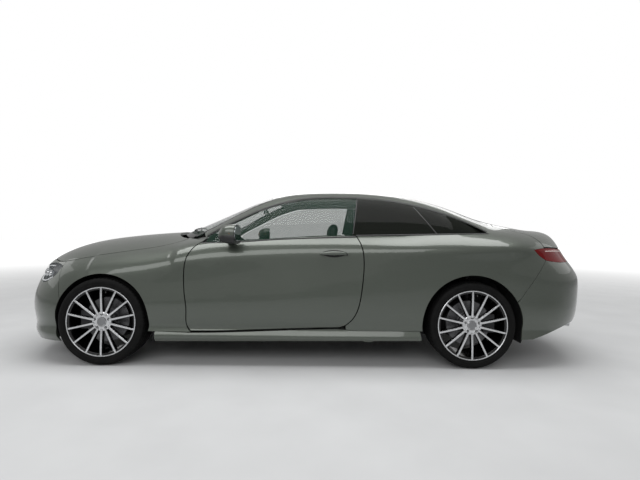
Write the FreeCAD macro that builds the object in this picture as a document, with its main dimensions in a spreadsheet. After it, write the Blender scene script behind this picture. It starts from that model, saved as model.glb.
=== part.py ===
# A two-door coupe car: hollow body with doors, bonnet and boot lid that open, four wheels that
# roll and front wheels that steer. Nose towards -X, left side towards -Y, Z up, origin on the
# ground midway along the car. Lengths in millimetres, angles in degrees.
import FreeCAD, Part
import math
import os
import Sketcher

V = FreeCAD.Vector
doc = FreeCAD.newDocument("coupe")

# Driving dimensions
SIZES = [
    ("overall_length", 4826.0),
    ("front_overhang", 842.0),
    ("wheelbase", 2873.0),
    ("body_width", 1860.0),
    ("overall_height", 1430.0),
    ("belt_height", 1046.0),
    ("sill_clearance", 190.0),
    ("front_track", 1605.0),
    ("rear_track", 1586.0),
    ("front_tyre_radius", 339.0),
    ("rear_tyre_radius", 336.0),
    ("front_tyre_width", 245.0),
    ("rear_tyre_width", 265.0),
    ("rim_radius", 271.0),
    ("rim_barrel_radius", 246.0),
    ("rim_wall", 7.0),
    ("spoke_width", 15.0),
    ("spoke_depth", 34.0),
    ("hub_face_radius", 76.0),
    ("centre_bore_radius", 30.0),
    ("bolt_circle_radius", 56.0),
    ("bolt_hole_radius", 8.0),
    ("disc_radius", 176.0),
    ("disc_thickness", 30.0),
    ("disc_hat_radius", 88.0),
    ("front_arch_radius", 372.0),
    ("rear_arch_radius", 388.0),
    ("liner_radius", 408.0),
    ("liner_wall", 5.0),
    ("skin", 8.0),
    ("bumper_wall", 14.0),
    ("bonnet_thickness", 24.0),
    ("lid_thickness", 26.0),
    ("roof_thickness", 30.0),
    ("rail_thickness", 46.0),
    ("quarter_thickness", 24.0),
    ("glass_thickness", 5.0),
    ("shut_gap", 8.0),
    ("flange", 7.0),
    ("flange_depth", 25.0),
    ("seam", 3.0),
    ("hinge_pin_radius", 7.0),
    ("hinge_barrel_radius", 13.0),
    ("hinge_clearance", 0.3),
    ("steering_wheel_radius", 185.0),
    ("seat_width", 480.0),
    ("engine_length", 510.0),
    ("engine_width", 420.0),
    ("engine_height", 470.0),
]
sheet = doc.addObject("Spreadsheet::Sheet", "sizes")
for row, (name, value) in enumerate(SIZES, start=1):
    sheet.set(f"A{row}", name)
    sheet.set(f"B{row}", str(value))
    sheet.setAlias(f"B{row}", name)
doc.recompute()


def size(name):
    return float(sheet.get(name))


HALF_WIDTH = size("body_width") / 2
FRONT_AXLE = -size("overall_length") / 2 + size("front_overhang")
REAR_AXLE = FRONT_AXLE + size("wheelbase")
SEAM = size("seam")
GAP = size("shut_gap")


# The styling lines are written for the reference car, from midway between its axles, and are
# moved to the real lengths, width and heights by these maps.
def broken_line(pairs):
    def value(x):
        i = 0
        while i < len(pairs) - 2 and x > pairs[i + 1][0]:
            i += 1
        (x0, y0), (x1, y1) = pairs[i], pairs[i + 1]
        return y0 + (y1 - y0) * (x - x0) / (x1 - x0)

    return value


STATIONS = [
    (-2278.5, -size("overall_length") / 2),
    (-1436.5, FRONT_AXLE),
    (1436.5, REAR_AXLE),
    (2547.5, size("overall_length") / 2),
]
HEIGHTS = [
    (0.0, 0.0),
    (190.0, size("sill_clearance")),
    (1046.0, size("belt_height")),
    (1430.0, size("overall_height")),
]
REFERENCE_HALF_WIDTH = 930.0
WIDEN = HALF_WIDTH / REFERENCE_HALF_WIDTH
along = broken_line(STATIONS)
up = broken_line(HEIGHTS)
station = broken_line([(b, a) for a, b in STATIONS])
level = broken_line([(b, a) for a, b in HEIGHTS])


def at(r, y, z):
    return V(along(r), y * WIDEN, up(z))


# Curves of the body
def spline(points):
    """Natural cubic through (at, value) points, straight beyond the ends."""
    xs = [p[0] for p in points]
    ys = [p[1] for p in points]
    last = len(xs) - 1
    steps = [xs[i + 1] - xs[i] for i in range(last)]
    slopes = [(ys[i + 1] - ys[i]) / steps[i] for i in range(last)]
    bend = [0.0] * (last + 1)
    diagonal = [2 * (steps[i] + steps[i + 1]) for i in range(last - 1)]
    right = [6 * (slopes[i + 1] - slopes[i]) for i in range(last - 1)]
    for i in range(1, last - 1):
        share = steps[i] / diagonal[i - 1]
        diagonal[i] -= share * steps[i]
        right[i] -= share * right[i - 1]
    for i in range(last - 2, -1, -1):
        bend[i + 1] = (right[i] - steps[i + 1] * bend[i + 2]) / diagonal[i]
    start = slopes[0] - steps[0] * (2 * bend[0] + bend[1]) / 6
    end = slopes[-1] + steps[-1] * (bend[-2] + 2 * bend[-1]) / 6

    def value(x):
        if x <= xs[0]:
            return ys[0] + start * (x - xs[0])
        if x >= xs[-1]:
            return ys[-1] + end * (x - xs[-1])
        i = 0
        while x > xs[i + 1]:
            i += 1
        a = (xs[i + 1] - x) / steps[i]
        b = 1 - a
        cubic = (a**3 - a) * bend[i] + (b**3 - b) * bend[i + 1]
        return a * ys[i] + b * ys[i + 1] + cubic * steps[i] ** 2 / 6

    return value


def smooth_max(a, b, width):
    overlap = max(width - abs(a - b), 0.0) / width
    return max(a, b) + overlap**3 * width / 6


def smooth_step(x, low, high):
    t = min(1.0, max(0.0, (x - low) / (high - low)))
    return t * t * (3 - 2 * t)


crease_z = spline([(-2150, 700), (-1800, 735), (-1380, 768), (-1100, 800), (-794, 824), (-400, 856),
                   (0, 882), (600, 910), (1100, 924), (1500, 934), (1900, 942), (2300, 925)])
crease_in = spline([(-2278, 30), (-1800, 28), (-1436, 22), (-1000, 22), (-500, 25), (0, 25),
                    (500, 22), (1000, 12), (1436, 5), (1700, 10), (2000, 26), (2547, 40)])
low_z = spline([(-2278, 400), (-1436, 400), (-758, 402), (-218, 430), (105, 455), (569, 490),
                (1018, 524), (1436, 545), (2547, 560)])
low_in = spline([(-2278, 14), (-1436, 6), (-700, 8), (0, 6), (700, 6), (1436, 2), (2000, 16), (2547, 30)])
belt_z = spline([(-1436, 900), (-1000, 935), (-675, 962), (-376, 980), (0, 1003), (532, 1026),
                 (1172, 1040), (1544, 1046), (2000, 1046), (2547, 1040)])
belt_in = spline([(-1436, 70), (-1000, 75), (-675, 80), (0, 72), (532, 72), (1172, 95),
                  (1544, 140), (1900, 190), (2547, 240)])
nose_x = spline([(60, -2150), (147, -2235), (211, -2252), (282, -2262), (368, -2272), (436, -2278.5),
                 (518, -2272), (604, -2258), (680, -2240), (740, -2215), (790, -2180), (850, -2120),
                 (950, -2000)])
tail_x = spline([(100, 2340), (250, 2440), (335, 2500), (400, 2520), (528, 2542), (640, 2547.5),
                 (700, 2535), (748, 2505), (831, 2458), (900, 2434), (949, 2420), (1010, 2412),
                 (1080, 2404), (1150, 2390)])
deck_z = spline([(-2330, 690), (-2270, 735), (-2225, 785), (-2150, 845), (-2008, 905), (-1766, 965),
                 (-1524, 1000), (-1281, 1024), (-1040, 1040), (-800, 1046), (-300, 1040), (500, 1040),
                 (1200, 1060), (1600, 1112), (1760, 1124), (1858, 1116), (1960, 1104), (2061, 1092),
                 (2163, 1084), (2300, 1078), (2400, 1072), (2560, 1050)])
deck_drop = spline([(-2278, 125), (-1700, 128), (-1300, 128), (-1000, 110), (-700, 60), (0, 30),
                    (1500, 30), (1900, 34), (2547, 40)])
roof_z = spline([(-1250, 930), (-1100, 992), (-1010, 1033), (-860, 1097), (-640, 1192), (-420, 1288),
                 (-190, 1375), (-60, 1404), (100, 1421), (300, 1429), (450, 1430), (600, 1428),
                 (750, 1420), (950, 1400), (1150, 1365), (1350, 1316), (1550, 1247), (1750, 1160),
                 (1900, 1092), (2100, 1000), (2200, 900), (2300, 700), (2400, 400)])
cabin_in = spline([(-1250, 400), (-1000, 290), (-850, 210), (-675, 152), (-376, 120), (0, 108),
                   (532, 108), (900, 122), (1172, 146), (1544, 212), (1800, 285), (2000, 360), (2300, 480)])
NOSE_CENTRE = -1550.0
TAIL_CENTRE = 1700.0
ROOF_CENTRE = 400.0
section_cache = {}


def half_width(r, z):
    """Half width of the lower body at a station and a level, before the ends round off."""
    key = round(r, 3)
    if key not in section_cache:
        full = REFERENCE_HALF_WIDTH
        z_low, z_crease, z_belt = low_z(r), crease_z(r), belt_z(r)
        low, crease, belt = full - low_in(r), full - crease_in(r), full - belt_in(r)
        section_cache[key] = spline([
            (120, full - 60), (190, full - 30), (222, full - 10), (285, full - 28), (340, full - 20),
            (z_low, low), ((z_low + z_crease) / 2, (low + crease) / 2 - 1), (z_crease - 55, crease + 1),
            (z_crease, crease - 2),
            (z_crease + 0.45 * (z_belt - z_crease), crease - 0.33 * (crease - belt)),
            (z_belt, belt), (z_belt + 60, 2 * belt - crease)])
    return section_cache[key](z)


def side_field(r, y, z):
    z = max(z, 60.0)
    wide = max(60.0, half_width(r, z))
    if NOSE_CENTRE <= r <= TAIL_CENTRE:
        return abs(y) - wide
    if r < NOSE_CENTRE:
        reach = max(100.0, NOSE_CENTRE - nose_x(z))
        power = 2.5 - 0.3 * smooth_step(z, 500, 700)
        share = (NOSE_CENTRE - r) / reach
    else:
        reach = max(100.0, tail_x(z) - TAIL_CENTRE)
        power = 2.8 - 0.6 * smooth_step(z, 750, 950)
        share = (r - TAIL_CENTRE) / reach
    return ((share**power + (abs(y) / wide) ** power) ** (1 / power) - 1) * min(reach, wide)


def lower_field(r, y, z):
    top = z - (deck_z(r) - deck_drop(r) * (abs(y) / 700) ** 2.2)
    return smooth_max(side_field(r, y, z), top, 190 if r < -900 else 150)


def cabin_field(r, y, z):
    rise = max(z - belt_z(r), -80.0)
    side = REFERENCE_HALF_WIDTH - cabin_in(r) - 0.55 * rise - 0.0006 * rise * abs(rise)
    stretched = ROOF_CENTRE + (r - ROOF_CENTRE) * (1 + 0.16 * (y / 700) ** 2)
    top = roof_z(stretched) - 50 * (abs(y) / 560) ** 2
    return smooth_max(abs(y) - side, z - top, 150)


def body_field(r, y, z):
    blend = 40 + 140 * smooth_step(r, 900, 1400)
    return -smooth_max(-lower_field(r, y, z), -cabin_field(r, y, z), blend)


def surface_point(field, origin, direction, far):
    """Where the ray from an inside origin leaves the field's body."""
    def f(t):
        p = origin + direction * t
        return field(station(p.x), p.y / WIDEN, level(p.z))

    near, far = 0.0, float(far)
    low, high = f(near), f(far)
    for turn in range(60):
        mid = (near + far) / 2 if turn % 3 == 0 else (near * high - far * low) / (high - low)
        value = f(mid)
        if abs(value) < 1e-5:
            break
        if value < 0:
            near, low = mid, value
        else:
            far, high = mid, value
    return origin + direction * mid


def normal_at(field, p):
    def f(dx, dy, dz):
        return field(station(p.x + dx), (p.y + dy) / WIDEN, level(p.z + dz))

    e = 0.5
    n = V(f(e, 0, 0) - f(-e, 0, 0), f(0, e, 0) - f(0, -e, 0), f(0, 0, e) - f(0, 0, -e))
    return n.normalize()


def spaced(start, end, count):
    return [start + (end - start) * i / (count - 1) for i in range(count)]


def section_rays(field, stations, origin_y, origin_z, angles):
    """Rows of surface points in planes across the car, fanned from outboard to up."""
    rows = []
    for r in stations:
        origin = at(r, origin_y, origin_z)
        row = []
        for angle in angles:
            a = math.radians(angle)
            row.append(surface_point(field, origin, V(0, -math.cos(a), math.sin(a)), 1500))
        rows.append(row)
    return rows


def end_rays(field, centre, turns, tilts):
    """Rows of surface points fanned round an inside point; turn 0 looks forward, 90 to the left."""
    origin = at(*centre)
    rows = []
    for turn in turns:
        c, s = math.cos(math.radians(turn)), math.sin(math.radians(turn))
        row = []
        for tilt in tilts:
            t = math.radians(tilt)
            way = V(-c * math.cos(t), -s * math.cos(t), math.sin(t))
            row.append(surface_point(field, origin, way, 1700))
        rows.append(row)
    return rows


def thinned(items, step=2):
    """Every second item and the last one: an inner face needs fewer points than an outer one."""
    return items[:-1:step] + items[-1:]


def inner_rows(field, rows, depth, step=2):
    return [[p - normal_at(field, p) * depth for p in thinned(row, step)] for row in thinned(rows, step)]


def block(outer_rows, inner_rows_):
    """Solid between two surfaces through matching rows of points."""
    faces = []
    for rows in (outer_rows, inner_rows_):
        sheet_surface = Part.BSplineSurface()
        sheet_surface.interpolate(rows)
        faces.append(sheet_surface.toShape())
    outer, inner = faces
    for i, edge in enumerate(outer.Edges):
        faces.append(Part.makeRuledSurface(edge, inner.Edges[i]))
    shell = Part.makeShell(faces)
    shell.sewShape()
    solid = Part.Solid(shell)
    if solid.Volume < 0:
        solid.reverse()
    solid.fix(0.001, 0.001, 0.001)
    return solid


def wall(field, rows, depth, start=0.0, step=2):
    """Wall of even thickness under the surface, starting at a depth below it."""
    outer = inner_rows(field, rows, start, step) if start else rows
    return block(outer, inner_rows(field, rows, depth, step))


def drawn_in(rows, centre, share):
    """The rows of a fan pulled towards its origin; a section fan's origin has no station."""
    moved = []
    for row in rows:
        r, y, z = centre
        spots = [V(p.x if r is None else along(r), y * WIDEN, up(z)) for p in row]
        moved.append([c + (p - c) * share for p, c in zip(row, spots)])
    return moved


def room_under(field, rows, depth, centre, share=0.3, step=2):
    """The space behind a wall of this depth, to end brackets exactly on the wall's back."""
    return block(inner_rows(field, rows, depth, step), drawn_in(rows, centre, share))


# Outlines and cutters
def flow_of(points):
    """The curve through a piece's points and its direction at each of them."""
    if len(points) == 2:
        way = (points[1] - points[0]).normalize()
        return Part.makeLine(*points), [way, way]
    curve = Part.BSplineCurve()
    curve.interpolate(points)
    return curve.toShape(), [V(*curve.tangent(curve.parameter(p))[0]) for p in points]


def grown(pieces, across, grow):
    """The closed outline moved outward by grow, in the plane whose normal is across."""
    ways = [flow_of(points)[1] for points in pieces]
    corners = [p for points in pieces for p in points[:-1]]
    around = V()
    for i, p in enumerate(corners):
        around += corners[i - 1].cross(p)
    side = 1 if around.dot(across) > 0 else -1
    moved = []
    for points, tangents in zip(pieces, ways):
        moved.append([p + t.cross(across) * (side * grow) for p, t in zip(points, tangents)])
    for i, points in enumerate(pieces):
        n0 = ways[i - 1][-1].cross(across) * side
        n1 = ways[i][0].cross(across) * side
        corner = points[0] + (n0 + n1) * (grow / max(0.3, 1 + n0.dot(n1)))
        moved[i][0] = corner
        moved[i - 1][-1] = corner
    return moved


def prism(pieces, across, start, length, grow=0.0):
    """Solid over the closed outline, from start and on by length along across."""
    if grow:
        pieces = grown(pieces, across, grow)
    wire = Part.Wire([flow_of(points)[0] for points in pieces])
    wire.translate(across * start)
    return Part.Face(wire).extrude(across * length)


def polygon(points):
    return [[points[i], points[(i + 1) % len(points)]] for i in range(len(points))]


def side_cutter(pieces, inner=0.0, outer=1300.0, grow=0.0):
    flat = [[V(along(r), 0, up(z)) for r, z in points] for points in pieces]
    return prism(flat, V(0, -1, 0), inner, outer - inner, grow)


def top_cutter(pieces, low=300.0, high=1600.0, grow=0.0):
    flat = [[V(along(r), y * WIDEN, 0) for r, y in points] for points in pieces]
    return prism(flat, V(0, 0, 1), low, high - low, grow)


def front_cutter(pieces, start, end, grow=0.0):
    flat = [[V(0, y * WIDEN, up(z)) for y, z in points] for points in pieces]
    return prism(flat, V(1, 0, 0), start, end - start, grow)


def corner_cutter(pieces, azimuth, near, far, grow=0.0):
    """Cutter through a corner of the body, along a level direction; 0 looks out over the nose."""
    a = math.radians(azimuth)
    way = V(-math.cos(a), -math.sin(a), 0)
    flat = []
    for points in pieces:
        spots = [at(*p) for p in points]
        flat.append([p - way * p.dot(way) for p in spots])
    return prism(flat, way, near, far - near, grow)


def mirrored(shape):
    return shape.mirror(V(0, 0, 0), V(0, 1, 0))


def box(x0, x1, y0, y1, z0, z1):
    return Part.makeBox(x1 - x0, y1 - y0, z1 - z0, V(x0, y0, z0))


def rod(start, end, radius):
    way = end - start
    return Part.makeCylinder(radius, way.Length, start, way)


def joined(shapes):
    first = shapes[0]
    return first.fuse(shapes[1:]).removeSplitter() if len(shapes) > 1 else first


def largest(shape, count=1):
    solids = sorted(shape.Solids, key=lambda s: -s.Volume)[:count]
    return solids[0] if count == 1 else Part.makeCompound(solids)


NODES = []


def keep(name, shape):
    """Adds a sub-part whose shape is made here."""
    node = doc.addObject("Part::Feature", name)
    node.Label = name
    node.Shape = shape
    node.Placement = FreeCAD.Placement()
    NODES.append(node)
    return shape


def both_sides(name, shape):
    """Adds the left piece and its mirror image as two sub-parts."""
    keep("left_" + name, shape)
    keep("right_" + name, mirrored(shape))


def pair(name, shape):
    """Adds the left piece and its mirror image as one sub-part of two solids."""
    keep(name, Part.makeCompound([shape, mirrored(shape)]))


# Outlines of panels, in reference stations, half widths and levels
DOOR_FRONT = [(-745, 268), (-771, 300), (-778, 423), (-794, 559), (-803, 696), (-788, 833),
              (-753, 908), (-688, 967)]
DOOR_BELT = [(-688, 967), (-381, 979), (-15, 1005), (535, 1027)]
DOOR_REAR = [(535, 1027), (560, 990), (580, 943), (594, 878), (597, 738), (584, 609), (564, 490),
             (530, 402), (458, 325), (380, 304)]
DOOR_FOOT = [(380, 304), (-3, 291), (-436, 274), (-745, 268)]
DOOR = [DOOR_FRONT, DOOR_BELT, DOOR_REAR, DOOR_FOOT]
LIGHT_TOP = [(-690, 990), (-570, 1062), (-412, 1141), (-267, 1213), (-94, 1276), (81, 1317),
             (320, 1337), (558, 1333), (762, 1318), (1016, 1275), (1266, 1205), (1453, 1135),
             (1560, 1085), (1600, 1052)]
LIGHT_FOOT = [(1600, 1052), (1187, 1042), (535, 1027), (-15, 1005), (-381, 979), (-690, 967)]
LIGHT = [LIGHT_TOP, LIGHT_FOOT, [(-690, 967), (-690, 990)]]
GLASS_SPLIT = [(506, 1000), (566, 1360)]
BONNET = [[(-1060, 0), (-1040, -220), (-975, -430), (-868, -572)],
          [(-868, -572), (-885, -640), (-983, -692), (-1140, -718), (-1300, -732), (-1449, -748),
           (-1650, -762), (-1790, -755), (-1886, -708)],
          [(-1886, -708), (-1975, -612), (-2060, -490), (-2130, -345), (-2172, -180), (-2184, 0)]]
WINDSCREEN = [[(-1005, 0), (-965, -300), (-870, -530), (-790, -640)],
              [(-790, -640), (-620, -610), (-400, -560), (-120, -505)],
              [(-120, -505), (-165, -260), (-185, 0)]]
ROOF = [[(-179, 0), (-159, -260), (-113, -509)],
        [(-113, -509), (100, -520), (400, -524), (700, -518), (955, -498)],
        [(955, -498), (1000, -260), (1016, 0)]]
REAR_WINDOW = [[(1022, 0), (1006, -260), (962, -502)],
               [(962, -502), (1200, -514), (1450, -530), (1690, -556)],
               [(1690, -556), (1745, -300), (1764, 0)]]
LID_FRONT = [(1786, 0), (1766, -300), (1722, -575)]
LID_SIDE = [(1722, -575), (1860, -640), (1975, -705), (2010, -773), (2016, -860)]
LID = [LID_FRONT, LID_SIDE, [(2016, -860), (2016, -1000)], [(2016, -1000), (2700, -1000)],
       [(2700, -1000), (2700, 0)]]
HEADLAMP = [[(-1805, -798, 758), (-1886, -722, 778), (-1999, -628, 768), (-2095, -500, 742),
             (-2140, -430, 715)],
            [(-2140, -430, 715), (-2150, -470, 665)],
            [(-2150, -470, 665), (-2080, -620, 632), (-1985, -740, 622), (-1930, -795, 636)],
            [(-1930, -795, 636), (-1870, -815, 665), (-1822, -822, 706)],
            [(-1822, -822, 706), (-1805, -798, 758)]]
TAIL_LAMP = [[(1915, -885, 924), (2050, -858, 936), (2170, -800, 933), (2300, -690, 925), (2395, -520, 918)],
             [(2395, -520, 918), (2400, -500, 855)],
             [(2400, -500, 855), (2350, -660, 825), (2240, -785, 820), (2120, -838, 826), (2034, -858, 838)],
             [(2034, -858, 838), (1975, -872, 870), (1915, -885, 924)]]
FRONT_GRILLE = polygon([(-330, 640), (-360, 560), (-300, 470), (300, 470), (360, 560), (330, 640)])
LOWER_INTAKE = polygon([(-430, 380), (-520, 250), (520, 250), (430, 380)])


def whole(half):
    """A half outline that starts and ends on the centre line, closed by its mirror image."""
    other = [[(r, -y) for r, y in reversed(piece)] for piece in reversed(half)]
    return half + other


def rbox(r0, r1, y0, y1, z0, z1):
    return box(along(r0), along(r1), y0, y1, up(z0), up(z1))


# Wheels and arches
FRONT_Z = size("front_tyre_radius")
REAR_Z = size("rear_tyre_radius")
FRONT_Y = size("front_track") / 2
REAR_Y = size("rear_track") / 2
ARCHES = [(FRONT_AXLE, FRONT_Z, size("front_arch_radius"), 478),
          (REAR_AXLE, REAR_Z, size("rear_arch_radius"), 600)]


def arch_cylinder(arch, radius, y0, y1):
    return rod(V(arch[0], y0, arch[1]), V(arch[0], y1, arch[1]), radius)


front_arch = arch_cylinder(ARCHES[0], size("front_arch_radius"), -300, -1300)
rear_arch = arch_cylinder(ARCHES[1], size("rear_arch_radius"), -300, -1300)
front_room = arch_cylinder(ARCHES[0], size("liner_radius"), -ARCHES[0][3], -1300)
rear_room = arch_cylinder(ARCHES[1], size("liner_radius"), -ARCHES[1][3], -1300)
door_opening = side_cutter(DOOR)
light_opening = side_cutter(LIGHT)
bonnet_opening = top_cutter(whole(BONNET), 500)
windscreen_opening = top_cutter(whole(WINDSCREEN), 900)
roof_opening = top_cutter(whole(ROOF), 1100, 1700)
rear_window_opening = top_cutter(whole(REAR_WINDOW), 1000, 1700)
lid_opening = top_cutter(whole(LID), 790)
headlamp_opening = corner_cutter(HEADLAMP, 45, 700, 2600)
tail_lamp_opening = corner_cutter(TAIL_LAMP, 135, 700, 2600)

# Front fenders
SKIN = size("skin")
fender_rows = section_rays(lower_field, spaced(-1960, -640, 46), -450, 560, spaced(-48, 92, 30))
FENDER_FRONT = [(-1800, 764), (-1790, 640), (-1762, 500)]
FENDER_SIDE = [FENDER_FRONT, [(-1762, 500), (-1762, 276)],
               [(-1762, 276), (-745, 268)], DOOR_FRONT, [(-688, 967), (-680, 990)],
               [(-680, 990), (-742, 1056)], [(-742, 1056), (-1000, 1120)], [(-1000, 1120), (-1800, 1000)],
               [(-1800, 1000), (-1800, 764)]]
fender = wall(lower_field, fender_rows, SKIN).common(side_cutter(FENDER_SIDE, 570))
fender = largest(fender.cut([front_arch, bonnet_opening, headlamp_opening, windscreen_opening,
                             rbox(-871, -866, -580, -566, 974, 988)]))
pair("fenders", fender)

# Doors
CABIN_HALF = 740.0
DOOR_CENTRE = (None, -600, 620)
door_rows = section_rays(body_field, spaced(-900, 700, 44), -600, 620, spaced(-52, 67, 34))
DOOR_INNER = CABIN_HALF + 10
door_room = drawn_in(door_rows, DOOR_CENTRE, 0.3)
door = block(door_rows, door_room).common(side_cutter(DOOR, DOOR_INNER, 1300, -GAP))
step_back = block(inner_rows(body_field, door_rows, size("flange")), door_room)
lip = [DOOR_FRONT, [(-688, 967), (-600, 980)], [(-600, 980), (-650, 268)], [(-650, 268), (-745, 268)]]
step_front = side_cutter(lip, 0, 1300, 1).cut(
    side_cutter([[(r + size("flange_depth"), z) for r, z in DOOR_FRONT], [(-663, 967), (-500, 1100)],
                 [(-500, 1100), (-500, 100)], [(-500, 100), (-720, 268)]], -10, 1310, -GAP))
door = largest(door.cut(step_back.common(step_front)))

# Sills
sill_rows = section_rays(lower_field, spaced(-1060, 1060, 44), -700, 300, spaced(-46, 40, 14))
sill_inner = [[V(p.x, -HALF_WIDTH + 190, p.z) for p in row] for row in sill_rows]
SILL = [[(-1020, 190), (1040, 214)], [(1040, 214), (1040, 283)], [(1040, 283), (565, 283)],
        [(565, 283), (380, 296)], [(380, 296), (-3, 283), (-436, 266), (-745, 260)],
        [(-745, 260), (-1020, 268)], [(-1020, 268), (-1020, 190)]]
sill = largest(block(sill_rows, sill_inner).common(side_cutter(SILL)).cut([front_room, rear_room]))
PAD_FOOT = 184.0
jack_pads = [rbox(r - 35, r + 35, -845, -795, PAD_FOOT, 216) for r in (-640, 640)]
sill = joined([sill] + jack_pads)
pair("sills", sill)

# Roof rails with the windscreen pillars
rail_rows = section_rays(body_field, spaced(-800, 1012, 60), -180, 900, spaced(2, 86, 34))
RAIL_SIDE = polygon([(-735, 1056), (-672, 990), (-672, 940), (505, 990), (960, 1100), (985, 1180),
                     (985, 1500), (-735, 1500)])
rail = wall(body_field, rail_rows, size("rail_thickness")).common(side_cutter(RAIL_SIDE, 450))
rail = largest(rail.cut([light_opening, windscreen_opening, roof_opening, rear_window_opening, door_opening]))
pair("roof_rails", rail)

# Quarter panels
quarter_rows = section_rays(body_field, spaced(440, 2320, 62), -430, 880, spaced(-56, 100, 44))
QUARTER_SIDE = [list(reversed(DOOR_REAR))[1:], [(535, 1027), (506, 1040)],
                [(506, 1040), (985, 1080)], [(985, 1080), (985, 1500)], [(985, 1500), (2100, 1500)],
                [(2100, 1500), (2100, 842)], [(2100, 842), (2020, 842)], [(2020, 842), (1800, 545)],
                [(1800, 545), (1500, 286)], [(1500, 286), (565, 286)], [(565, 286), (458, 294)],
                [(458, 294), (458, 325)]]
quarter = wall(body_field, quarter_rows, size("quarter_thickness")).common(side_cutter(QUARTER_SIDE, 430))
quarter = quarter.cut([rear_arch, light_opening, roof_opening, rear_window_opening, lid_opening,
                       tail_lamp_opening])
lid_way = room_under(body_field, quarter_rows, size("skin"), (None, -430, 880), 0.1)
quarter = quarter.cut([lid_way.common(rbox(1700, 1850, -660, -395, 1000, 1160)),
                       rbox(1780, 1822, -628, -608, 1040, 1083), rbox(1797, 1814, -625, -616, 1080, 1088)])
quarter = largest(quarter)
pair("quarters", quarter)

# Roof, windscreen and rear window
roof_rows = section_rays(cabin_field, spaced(-260, 1100, 44), 0, 900, spaced(30, 150, 41))
roof = wall(cabin_field, roof_rows, size("roof_thickness"))
roof = largest(roof.common(top_cutter(whole(ROOF), 1100, 1700, -SEAM)))
keep("roof", roof)
GLASS = size("glass_thickness")
screen_rows = section_rays(cabin_field, spaced(-1060, -90, 30), 0, 850, spaced(14, 166, 51))
windscreen = largest(wall(cabin_field, screen_rows, GLASS).common(windscreen_opening))
rear_rows = section_rays(body_field, spaced(950, 1850, 30), 0, 850, spaced(14, 166, 51))
rear_window = largest(wall(body_field, rear_rows, GLASS).common(rear_window_opening))

# Side glass
side_glass_rows = section_rays(cabin_field, spaced(-780, 1700, 60), -180, 930, spaced(-6, 62, 26))
side_glass = wall(cabin_field, side_glass_rows, GLASS)
behind = [GLASS_SPLIT, [GLASS_SPLIT[1], (1700, 1360)], [(1700, 1360), (1700, 1000)],
          [(1700, 1000), GLASS_SPLIT[0]]]
ahead = [GLASS_SPLIT, [GLASS_SPLIT[1], (-800, 1360)], [(-800, 1360), (-800, 900)], [(-800, 900), (500, 900)],
         [(500, 900), GLASS_SPLIT[0]]]
rear_side = largest(side_glass.common([light_opening.common(side_cutter(behind, 0, 1300, 0))]))
keep("glass", Part.makeCompound([windscreen, rear_window, rear_side, mirrored(rear_side)]))
front_light = LIGHT[:1] + [[(1600, 1052), (1600, 940)], [(1600, 940), (-690, 920)],
                           [(-690, 920), (-690, 990)]]
door_glass = side_glass.common(side_cutter(front_light, 0, 1300, -6)).common(side_cutter(ahead, 0, 1300, -4))
glass_tip = rbox(-720, -662, -900, -500, 900, 1004)
door_glass = largest(door_glass.cut(glass_tip))
both_sides("door_glass", door_glass)
HINGE_R, HINGE_Y = -848.0, -885.0
PIN = size("hinge_pin_radius")
BARREL = size("hinge_barrel_radius")
PLAY = size("hinge_clearance")
HINGE_LEVELS = (400.0, 720.0)


def hinge_point(z, dr=0.0, dy=0.0):
    return V(along(HINGE_R) + dr, HINGE_Y * WIDEN + dy, up(z))


arms = []
for z in HINGE_LEVELS:
    path = [(-8, 6), (6, -8), (38, 40), (95, 50), (95, 74), (26, 64)]
    flat = [hinge_point(z, dr, dy) for dr, dy in path]
    arm = prism(polygon(flat), V(0, 0, 1), -20, 40)
    arm = arm.fuse(rod(hinge_point(z) - V(0, 0, 28 - PLAY), hinge_point(z) + V(0, 0, 28 - PLAY), BARREL))
    arms.append(arm.cut(rod(hinge_point(z - 60), hinge_point(z + 60), PIN + PLAY)))
HANDLE = [(258, 884), (290, 874), (364, 870), (438, 876), (470, 886), (438, 898), (364, 901), (290, 895)]
handle = joined([side_cutter(polygon(HANDLE), 925, 938), rbox(296, 316, -930, -880, 876, 892),
                 rbox(412, 432, -930, -880, 878, 894)])
door = joined([door, handle] + arms).cut(door_glass)
door = largest(door)
both_sides("door", door)

# Bonnet
bonnet_rows = section_rays(lower_field, spaced(-2215, -830, 50), 0, 600, spaced(10, 170, 45))
bonnet = wall(lower_field, bonnet_rows, size("bonnet_thickness"))
bonnet = largest(bonnet.common(top_cutter(whole(BONNET), 500, 1600, -GAP)).cut(
    [headlamp_opening, mirrored(headlamp_opening)]))
BONNET_AXIS = (-880.0, 972.0)
LID_AXIS = (1815.0, 1058.0)


def lifting_arm(axis, y0, y1, reach, low, high, panel):
    """Hinge arm of a panel that turns about a cross axis, its barrel bored for the pin."""
    centre = V(along(axis[0]), y0, up(axis[1]))
    end = V(along(axis[0]), y1, up(axis[1]))
    strap = rbox(min(axis[0], reach), max(axis[0], reach), y0, y1, low, high).cut(panel)
    strap = min(strap.Solids, key=lambda part: part.BoundBox.ZMin)
    arm = strap.fuse(rod(centre, end, 10))
    return arm.cut(rod(centre - V(0, 50, 0), end + V(0, 50, 0), 5 + PLAY))


bonnet_arm = lifting_arm(BONNET_AXIS, -543 + PLAY, -505 - PLAY, -1000, 956, 978, bonnet)
bonnet = joined([bonnet, bonnet_arm, mirrored(bonnet_arm)])
keep("bonnet", bonnet)

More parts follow.
